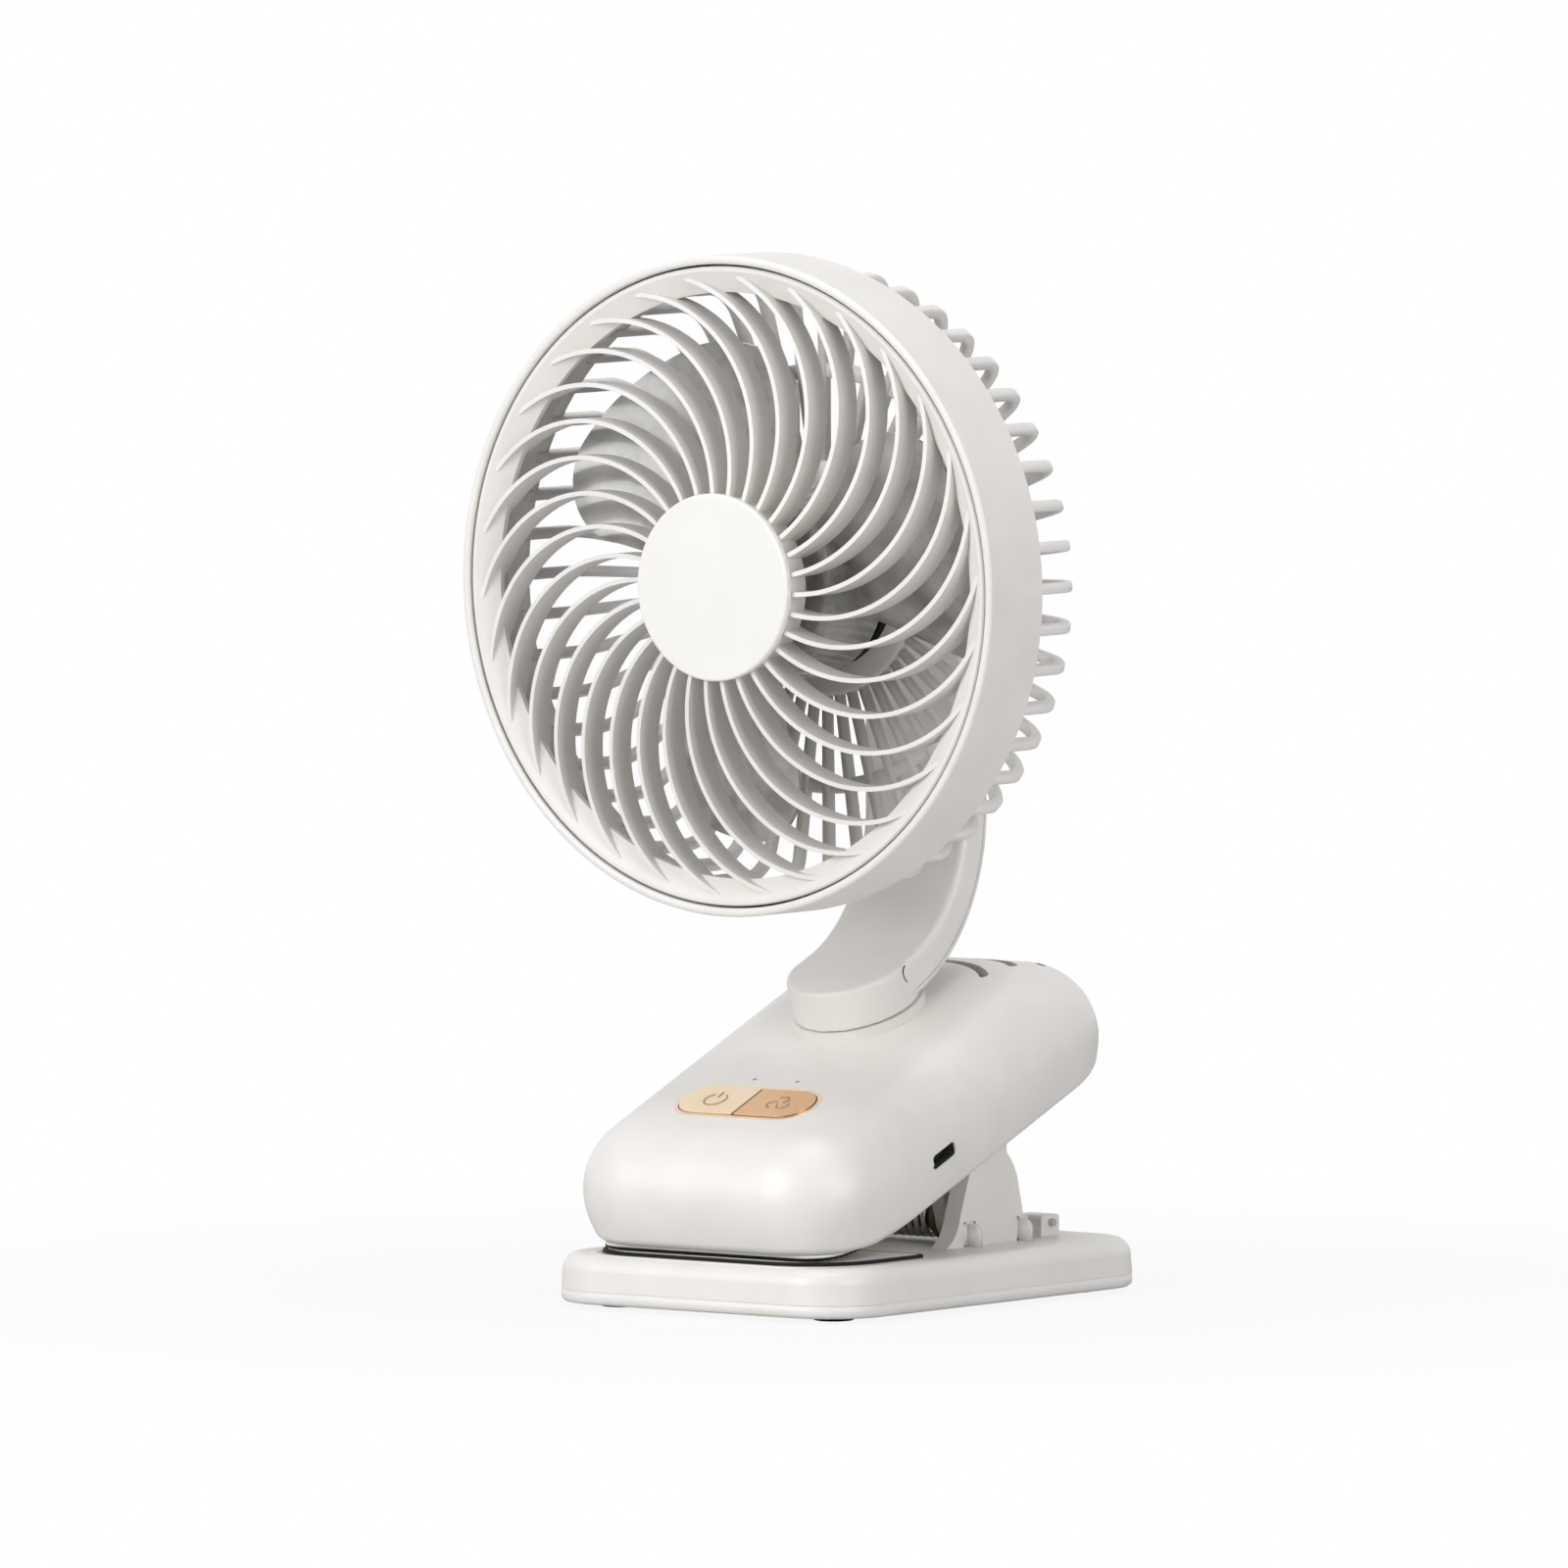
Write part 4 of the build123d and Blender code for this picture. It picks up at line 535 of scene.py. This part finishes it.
def gusset(side, y_root, y_rib):
    """A root block in the ear's pocket and a rib with a rounded outer corner."""
    root = [
        [(side * x, y_root + way * pocket_half, z) for way, z in (
            (-1, plate_top), (1, plate_top),
            (1, plate_top + pocket_high), (-1, plate_top + pocket_high),
        )]
        for x in (pocket_floor, ear_face)
    ]
    edge = [(pocket_floor, gusset_low), (ear_face + gusset_out, gusset_low)]
    for i in range(gusset_steps + 1):
        angle = radians(90 * i / gusset_steps)
        edge.append((
            ear_face + gusset_out - gusset_r + gusset_r * cos(angle),
            gusset_top - gusset_r + gusset_r * sin(angle),
        ))
    edge.append((pocket_floor, gusset_top))
    rib = [[(side * x, y, z) for x, z in edge] for y in (y_rib, y_rib + gusset_thick)]
    return [skin("root", root), skin("rib", rib)]


ribs = [
    mesh for side in (-1, 1) for y_root, y_rib in gusset_rows
    for mesh in gusset(side, y_root, y_rib)
]
place("gussets", ribs, shell_white, "shell", "base")

# %% [markdown]
# ### The charging slot
# The slot in the wall is lined with black plastic right up to its mouth, with a small tongue
# inside. Its black is partly that of the port's own plastic and partly painted shade for the dark
# depth of the slot. The housing's own slot is only a hole, so the liner is a separate skin set
# into it, on a plane that leans with the slope of the housing.

# %% The housing's slope
under_z = 0.0359


def on_slope(x, s, n):
    """A point of the housing from x, the way s up its slope and the height n over its floor."""
    return (
        x, s * cos(body_slope) - n * sin(body_slope),
        under_z + s * sin(body_slope) + n * cos(body_slope),
    )


print("slope", round(body_slope * 180 / pi, 1), "degrees from height", under_z)

# %% Slot liner
slot_s, slot_n = -0.0157, 0.0126
slot_face, slot_back = 0.04585, 0.0402
slot_steps = 6
mouth, hollow = (0.0050, 0.00185, 0.0010), (0.0046, 0.00145, 0.0008)
tongue_form = (0.0033, 0.00035, 0.0002)
liner_floor, tongue_short = 0.0004, 0.0012


def slot_ring(x, half_length, half_height, r):
    """A rounded rectangle across the slot at depth x."""
    return [
        on_slope(
            x, slot_s + (sx * (half_length - r) + r * cos(angle)),
            slot_n + (sy * (half_height - r) + r * sin(angle)),
        )
        for sx, sy, start in ((1, 1, 0), (-1, 1, 90), (-1, -1, 180), (1, -1, 270))
        for angle in (radians(start + 90 * i / slot_steps) for i in range(slot_steps + 1))
    ]


liner = skin("liner", [
    slot_ring(slot_back, *mouth), slot_ring(slot_face, *mouth),
    slot_ring(slot_face, *hollow), slot_ring(slot_back + liner_floor, *hollow),
])
tongue = skin("tongue", [
    slot_ring(slot_back, *tongue_form), slot_ring(slot_face - tongue_short, *tongue_form),
])
# Partly painted shade: the liner's black also stands in for the shade deep in the slot.
place("slot_liner", [liner, tongue], dark_plastic_and_painted_shade, "switch", "clip_body", "usb_socket")

# %% [markdown]
# ### The cage
# Behind the drum the air is drawn in through a cage: forty-eight hooked ribs that run back from
# the drum, turn inwards in a round bend and meet at a plate. One rib is a rounded bar swept
# along a path of a straight, an arc and a straight. The others are the same bar, turned about
# the fan's axis. An Array modifier with an object offset would repeat it as well, but a loop
# keeps the count and the angle in plain sight.

# %% One rib
axis_z, groove_y = 0.1915, -0.0535
rib_reach, cage_depth, bend_r = 0.0840, 0.0457, 0.0095
rib_wide, rib_narrow, rib_deep = 0.0029, 0.0022, 0.0031
rib_root, plate_r = 0.0175, 0.0290
taper_length, corner_cut, bend_steps = 0.045, 0.0005, 12


def rib_path():
    """Middle line of a rib as radius, depth and the direction of travel, drum to plate."""
    far, deep, r = rib_reach - rib_deep / 2, cage_depth - rib_deep / 2, bend_r - rib_deep / 2
    steps = [(far, rib_root, 0.0), (far, deep - r, 0.0)]
    for i in range(1, bend_steps):
        angle = pi / 2 * i / bend_steps
        steps.append((far - r + r * cos(angle), deep - r + r * sin(angle), angle))
    steps += [(far - r, deep, pi / 2), (plate_r, deep, pi / 2)]
    return steps


def on_head(radius, depth, angle, across=0.0):
    """A point of the head from cylinder measures; across is measured round the axis."""
    x = radius * cos(angle) - across * sin(angle)
    z = radius * sin(angle) + across * cos(angle)
    return (x, groove_y + depth, axis_z + z)


def cage_rib(angle):
    """A rounded bar along the rib's path."""
    rings = []
    for radius, depth, turn in rib_path():
        width = rib_narrow + (rib_wide - rib_narrow) * min(1.0, (radius - plate_r) / taper_length)
        w, t, c = width / 2, rib_deep / 2, corner_cut
        corner = [
            (w - c, -t), (w, -t + c), (w, t - c), (w - c, t),
            (-w + c, t), (-w, t - c), (-w, -t + c), (-w + c, -t),
        ]
        rings.append([
            on_head(radius + out * cos(turn), depth + out * sin(turn), angle, across)
            for across, out in corner
        ])
    return skin("rib", rings)


print("a rib's path has", len(rib_path()), "stations")

# %% Rings and plate of the cage
def round_band(name, profile, count=144):
    """A closed band turned about the fan's axis from radii and depths."""
    rings = [
        [on_head(radius, depth, 2 * pi * i / count) for radius, depth in profile]
        for i in range(count)
    ]
    rings.append(rings[0])
    return skin(name, rings, closed=False)


mid_profile = [
    (0.0530, 0.0436), (0.0535, 0.0431), (0.0565, 0.0431), (0.0570, 0.0436),
    (0.0570, 0.0455), (0.0565, 0.0460), (0.0535, 0.0460), (0.0530, 0.0455),
]
root_profile = [
    (0.0818, 0.0120), (0.0847, 0.0120), (0.0847, 0.0220),
    (0.0842, 0.0226), (0.0824, 0.0226), (0.0818, 0.0220),
]
hub_profile = [
    (0.0060, 0.0420), (0.0300, 0.0420), (0.0310, 0.0426), (0.0312, 0.0440),
    (0.0310, 0.0454), (0.0302, 0.0460), (0.0060, 0.0460),
]
hub_steps = 96
hub_rings = [
    [on_head(radius, depth, -2 * pi * i / hub_steps) for i in range(hub_steps)]
    for radius, depth in hub_profile
]
print("rings and plate are", len(mid_profile), len(root_profile), len(hub_profile), "points round")

# %% The whole cage
rib_count, rib_turn = 48, radians(0.7)
cage_parts = [cage_rib(rib_turn + 2 * pi * i / rib_count) for i in range(rib_count)]
cage_parts.append(round_band("mid_ring", mid_profile))
cage_parts.append(round_band("root_ring", root_profile))
cage_parts.append(skin("hub_plate", hub_rings))
place("rear_cage", cage_parts, shell_white, "shell", "head", "rear_grille", soft_angle=50)

# %% [markdown]
# ### The arm's lip
# The arm grows out of a round disc whose flat top ends in a soft lip. The solid arm is cut by
# the arc of the C, so its disc sweeps up to a sharp prow. A copy of its mesh is pressed down in
# front of the lowest point of the arc, remade with an even grid of small faces by a voxel
# remesh, and then relaxed along the lip alone. Sculpting would do the same, but here the same
# lip comes out each time.

# %% Measures of the lower arm
arm_middle = Vector((0, -0.0114, 0.1280))
arm_inside_r = 0.0410
swivel_at, swivel_tilt = Vector((0, 0.0045, 0.0777)), radians(22.5)
up_axis = Vector((0, -sin(swivel_tilt), cos(swivel_tilt)))
along_axis = Vector((0, cos(swivel_tilt), sin(swivel_tilt)))
disc_r, disc_zone = 0.0170, 0.020
middle_up = (arm_middle - swivel_at).dot(up_axis)
middle_along = (arm_middle - swivel_at).dot(along_axis)
top_height = middle_up - arm_inside_r


def on_disc(point):
    """A point's way out from the swivel axis, its height up the axis and its way to the rear."""
    off = point - swivel_at
    return off.x, off.dot(up_axis), off.dot(along_axis)


print("top of the disc", round(top_height * 1000, 2), "mm over the seam")

# %% Press the front of the disc flat
def pressed(point):
    """Lower the disc's rising front so that its top is flat."""
    _, height, along = on_disc(point)
    if along >= middle_along or height <= 0 or height > disc_zone:
        return point
    ahead = middle_along - along
    rising = middle_up - sqrt(arm_inside_r ** 2 - ahead ** 2)
    return point + up_axis * height * (top_height / rising - 1)


arm_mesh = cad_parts["arm_shell"].data.copy()
arm_mesh.transform(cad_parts["arm_shell"].matrix_world)
for corner in arm_mesh.vertices:
    corner.co = pressed(corner.co)
print("pressed", len(arm_mesh.vertices), "points")

# %% Remake it with small, even faces
lip_voxel = 0.00045
arm_body = bpy.data.objects.new("arm_body", arm_mesh)
bpy.context.collection.objects.link(arm_body)
grid = arm_body.modifiers.new("grid", "REMESH")
grid.mode = "VOXEL"
grid.voxel_size = lip_voxel
depsgraph = bpy.context.evaluated_depsgraph_get()
fine_arm = bpy.data.meshes.new_from_object(arm_body.evaluated_get(depsgraph))
bpy.data.objects.remove(arm_body)
print("remade with", len(fine_arm.vertices), "points")

# %% Relax the lip
lip_rear, lip_fade, lip_floor, lip_over = 0.006, 0.004, 0.002, 0.001
lip_reach, lip_edge = 0.0042, 0.0015
lip_rounds, lip_pull = 26, 0.5


def near_lip(point):
    """1 on the lip, fading to 0 some four millimetres from it and towards the rear."""
    across, height, along = on_disc(point)
    if along > lip_rear or height < lip_floor or height > top_height + lip_over:
        return 0.0
    out = sqrt(across ** 2 + min(along, 0) ** 2)
    gap = sqrt(max(disc_r - out, 0) ** 2 + (top_height - height) ** 2)
    fade = min(1.0, (lip_rear - along) / lip_fade)
    return max(0.0, min(1.0, (lip_reach - gap) / lip_edge)) * fade


relax = bmesh.new()
relax.from_mesh(fine_arm)
lip = [(corner, near_lip(corner.co)) for corner in relax.verts]
lip = [(corner, share) for corner, share in lip if share > 0]
for _ in range(lip_rounds):
    moved = []
    for corner, share in lip:
        near = [edge.other_vert(corner).co for edge in corner.link_edges]
        middle = sum(near, Vector()) / len(near)
        moved.append(corner.co.lerp(middle, lip_pull * share))
    for (corner, _share), spot in zip(lip, moved):
        corner.co = spot
relax.to_mesh(fine_arm)
relax.free()
print("relaxed", len(lip), "points of the lip")
place("arm_body", [fine_arm], shell_white, "shell", "arm", "arm_shell")

# %% Painted shade of the slit in the arm's side
arm_half, slit_r, slit_steps = 0.01700, 0.00016, 8
slit_y, slit_bow, slit_top, slit_high = 0.0017, 0.0012, 0.0890, 0.0044
# Painted shade: a thin dark tube along the arm's side stands in for the shade in a slit.
slit = bpy.data.curves.new("arm_slit_painted_shade", "CURVE")
slit.dimensions = "3D"
slit.bevel_depth = slit_r
slit.use_fill_caps = True
line = slit.splines.new("POLY")
line.points.add(slit_steps)
for i, node in enumerate(line.points):
    share = i / slit_steps
    bowed = slit_y + slit_bow * (2 * share - 0.8) ** 2
    node.co = (arm_half, bowed, slit_top - slit_high * share, 1)
slit_shade_piece = bpy.data.objects.new("arm_slit_painted_shade", slit)
bpy.context.collection.objects.link(slit_shade_piece)
slit.materials.append(dark_plastic_and_painted_shade)
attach(slit_shade_piece, "arm")
print("slit", round(slit_high * 1000, 1), "mm high")

# %% [markdown]
# ### Behind the vents
# Under the rear vents lies a curved grey sheet a little inside the wall. It is painted shade: its
# grey stands in for the dark inside, so the slots read as mid-grey lines and not as holes.

# %% Painted shade under the vents
crown_y, crown_z, shade_sheet_r, shade_sheet_thick = 0.0436, 0.05085, 0.0344, 0.0005
shade_sheet_half, shade_sheet_from, shade_sheet_to, shade_sheet_steps = 0.029, radians(66), radians(128), 24
shade_sheet_rings = []
for i in range(shade_sheet_steps + 1):
    angle = shade_sheet_from + (shade_sheet_to - shade_sheet_from) * i / shade_sheet_steps
    shade_sheet_rings.append([
        (x, crown_y + r * cos(angle), crown_z + r * sin(angle))
        for x, r in (
            (-shade_sheet_half, shade_sheet_r - shade_sheet_thick), (shade_sheet_half, shade_sheet_r - shade_sheet_thick),
            (shade_sheet_half, shade_sheet_r), (-shade_sheet_half, shade_sheet_r),
        )
    ])
# Painted shade: a mid-grey for the shade seen through the vent slots.
vent_painted_shade = finish(
    "vent_painted_shade", (0.17, 0.165, 0.155), (0.21, 0.205, 0.19), (0.6, 0.7), 1500, 0.00004,
)
place("vent_shade_sheet", [skin("vent_shade_sheet", shade_sheet_rings)], vent_painted_shade, "switch", "clip_body")

# %% [markdown]
# ### Marks on the keys
# The keys carry two shallow marks: a broken ring with a bar for power, and a small three-vaned
# wheel for the speed. They are generic signs. Each is a thin bevelled curve, half sunk in the
# face of its key, and rides on that key, so it goes down with it.

# %% Key marks
key_face_n, key_middle_s = 0.0347, -0.0334
mark_thick = 0.00022


def key_mark(name, strokes, body):
    """Strokes in the face of a key, each a list of x and s."""
    ink = bpy.data.curves.new(name, "CURVE")
    ink.dimensions = "3D"
    ink.bevel_depth = mark_thick
    ink.bevel_resolution = 3
    ink.use_fill_caps = True
    for stroke in strokes:
        line = ink.splines.new("POLY")
        line.points.add(len(stroke) - 1)
        for node, (x, s) in zip(line.points, stroke):
            node.co = (*on_slope(x, key_middle_s + s, key_face_n), 1)
    mark = bpy.data.objects.new(name, ink)
    bpy.context.collection.objects.link(mark)
    ink.materials.append(mark_brown)
    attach(mark, body)
    print(name, len(strokes), "strokes")


def arc(x, s, r, start, end, count=24):
    """Points of an arc on the key, angles in degrees."""
    return [
        (x + r * cos(radians(start + (end - start) * i / count)),
         s + r * sin(radians(start + (end - start) * i / count)))
        for i in range(count + 1)
    ]


mark_x, ring_r, bar_low, bar_high = 0.0105, 0.0032, 0.0012, 0.0040
ring = arc(-mark_x, 0, ring_r, 125, 415)
bar = [(-mark_x, bar_low), (-mark_x, bar_high)]
key_mark("power_mark", [ring, bar], "power_button")
vane_out, vane_r = 0.0019, 0.0017
vanes = [
    arc(
        mark_x + vane_out * cos(radians(turn)), vane_out * sin(radians(turn)),
        vane_r, turn - 150, turn + 60,
    )
    for turn in (90, 210, 330)
]
key_mark("speed_mark", vanes, "mode_button")

# %% [markdown]
# ## Floor and light
# The fan stands in a white room, and round it the picture is pure white. Turning the lamps up
# until the floor burns out would burn the pale shell out as well. So the floor glows a little
# for the camera alone, through Light Path: near the fan it mostly shows its real, lit surface,
# with the soft shadow, and further out it turns into the same white as the world behind it.

# %% Floor
floor_size = 60.0
shadow_reach = (0.10, 0.42)
near_glow = 0.90

bpy.ops.mesh.primitive_plane_add(size=floor_size)
floor = bpy.context.object
floor.name = "floor"
paper = bpy.data.materials.new("paper")
paper.use_nodes = True
tree = paper.node_tree
matte = tree.nodes["Principled BSDF"]
set_inputs(matte, {
    "Base Color": (0.62, 0.62, 0.62, 1), "Roughness": 0.9, "Specular IOR Level": 0.1,
})
glow = tree.nodes.new("ShaderNodeEmission")
blend = tree.nodes.new("ShaderNodeMixShader")
rays = tree.nodes.new("ShaderNodeLightPath")
spot = tree.nodes.new("ShaderNodeTexCoord")
reach = tree.nodes.new("ShaderNodeVectorMath")
reach.operation = "LENGTH"
fade = tree.nodes.new("ShaderNodeMapRange")
fade.interpolation_type = "SMOOTHSTEP"
set_inputs(fade, {
    "From Min": shadow_reach[0], "From Max": shadow_reach[1], "To Min": near_glow, "To Max": 1.0,
})
share = tree.nodes.new("ShaderNodeMath")
share.operation = "MULTIPLY"
tree.links.new(spot.outputs["Object"], reach.inputs[0])
tree.links.new(reach.outputs["Value"], fade.inputs["Value"])
tree.links.new(fade.outputs["Result"], share.inputs[0])
tree.links.new(rays.outputs["Is Camera Ray"], share.inputs[1])
tree.links.new(share.outputs[0], blend.inputs["Fac"])
tree.links.new(matte.outputs[0], blend.inputs[1])
tree.links.new(glow.outputs[0], blend.inputs[2])
tree.links.new(blend.outputs[0], tree.nodes["Material Output"].inputs["Surface"])
floor.data.materials.append(paper)
print("floor", floor_size, "m, glow near the fan", near_glow)

# %% [markdown]
# The light is one big soft lamp in front and a little to the left, high enough to lay a
# highlight along the nose. It faces the disc of the head, so the disc is nearly white, and the
# faces turned to the right fall off to a warm grey. A weaker lamp from the right, one from
# above and a little world light keep the arm and the inside of the cage readable.

# %% World
room_light = 0.27
world = bpy.data.worlds.new("studio")
bpy.context.scene.world = world
world.use_nodes = True
tree = world.node_tree
fill = tree.nodes["Background"]
set_inputs(fill, {"Color": (1, 1, 1, 1), "Strength": room_light})
white = tree.nodes.new("ShaderNodeBackground")
set_inputs(white, {"Color": (1, 1, 1, 1), "Strength": 1.0})
blend = tree.nodes.new("ShaderNodeMixShader")
rays = tree.nodes.new("ShaderNodeLightPath")
seen = tree.nodes.new("ShaderNodeMath")
seen.operation = "MAXIMUM"
seen_too = tree.nodes.new("ShaderNodeMath")
seen_too.operation = "MAXIMUM"
tree.links.new(rays.outputs["Is Camera Ray"], seen.inputs[0])
tree.links.new(rays.outputs["Is Glossy Ray"], seen.inputs[1])
tree.links.new(seen.outputs[0], seen_too.inputs[0])
tree.links.new(rays.outputs["Is Transmission Ray"], seen_too.inputs[1])
tree.links.new(seen_too.outputs[0], blend.inputs["Fac"])
tree.links.new(fill.outputs[0], blend.inputs[1])
tree.links.new(white.outputs[0], blend.inputs[2])
tree.links.new(blend.outputs[0], tree.nodes["World Output"].inputs["Surface"])
print("room light", room_light)

# %% Lamps
def soft_lamp(name, spot, aim, size, power):
    """A square area lamp at a spot, turned towards its aim."""
    lamp = bpy.data.objects.new(name, bpy.data.lights.new(name, "AREA"))
    lamp.data.size = size
    lamp.data.energy = power
    lamp.location = spot
    lamp.rotation_euler = (Vector(aim) - Vector(spot)).to_track_quat("-Z", "Y").to_euler()
    bpy.context.collection.objects.link(lamp)
    print(name, power, "W,", size, "m wide")


fan_middle = (0, 0, 0.14)
soft_lamp("key_lamp", (-0.45, -1.40, 0.70), fan_middle, 1.0, 17)
soft_lamp("fill_lamp", (1.35, -0.35, 0.55), fan_middle, 0.8, 8)
soft_lamp("top_lamp", (0.05, 0.0, 1.40), fan_middle, 0.8, 7.5)

# %% [markdown]
# ## The camera
# The photograph was taken from the front right, 37 degrees round from the fan's axis and only
# a few degrees above it. It shows next to no perspective, so a very long lens is set far away
# and the shape keeps its proportions.

# %% Camera
look_at = Vector((-0.01347, -0.0101, 0.1365))
distance = 7.0
side, rise = radians(36.87), radians(4.0)
camera = bpy.data.objects.new("camera", bpy.data.cameras.new("camera"))
camera.data.sensor_width = 36.0
camera.data.lens = 608.0
camera.location = look_at + distance * Vector(
    (sin(side) * cos(rise), -cos(side) * cos(rise), sin(rise))
)
camera.rotation_euler = (look_at - camera.location).to_track_quat("-Z", "Y").to_euler()
bpy.context.collection.objects.link(camera)
bpy.context.scene.camera = camera
bpy.context.scene.view_settings.view_transform = "Standard"
print("camera at", [round(v, 3) for v in camera.location])
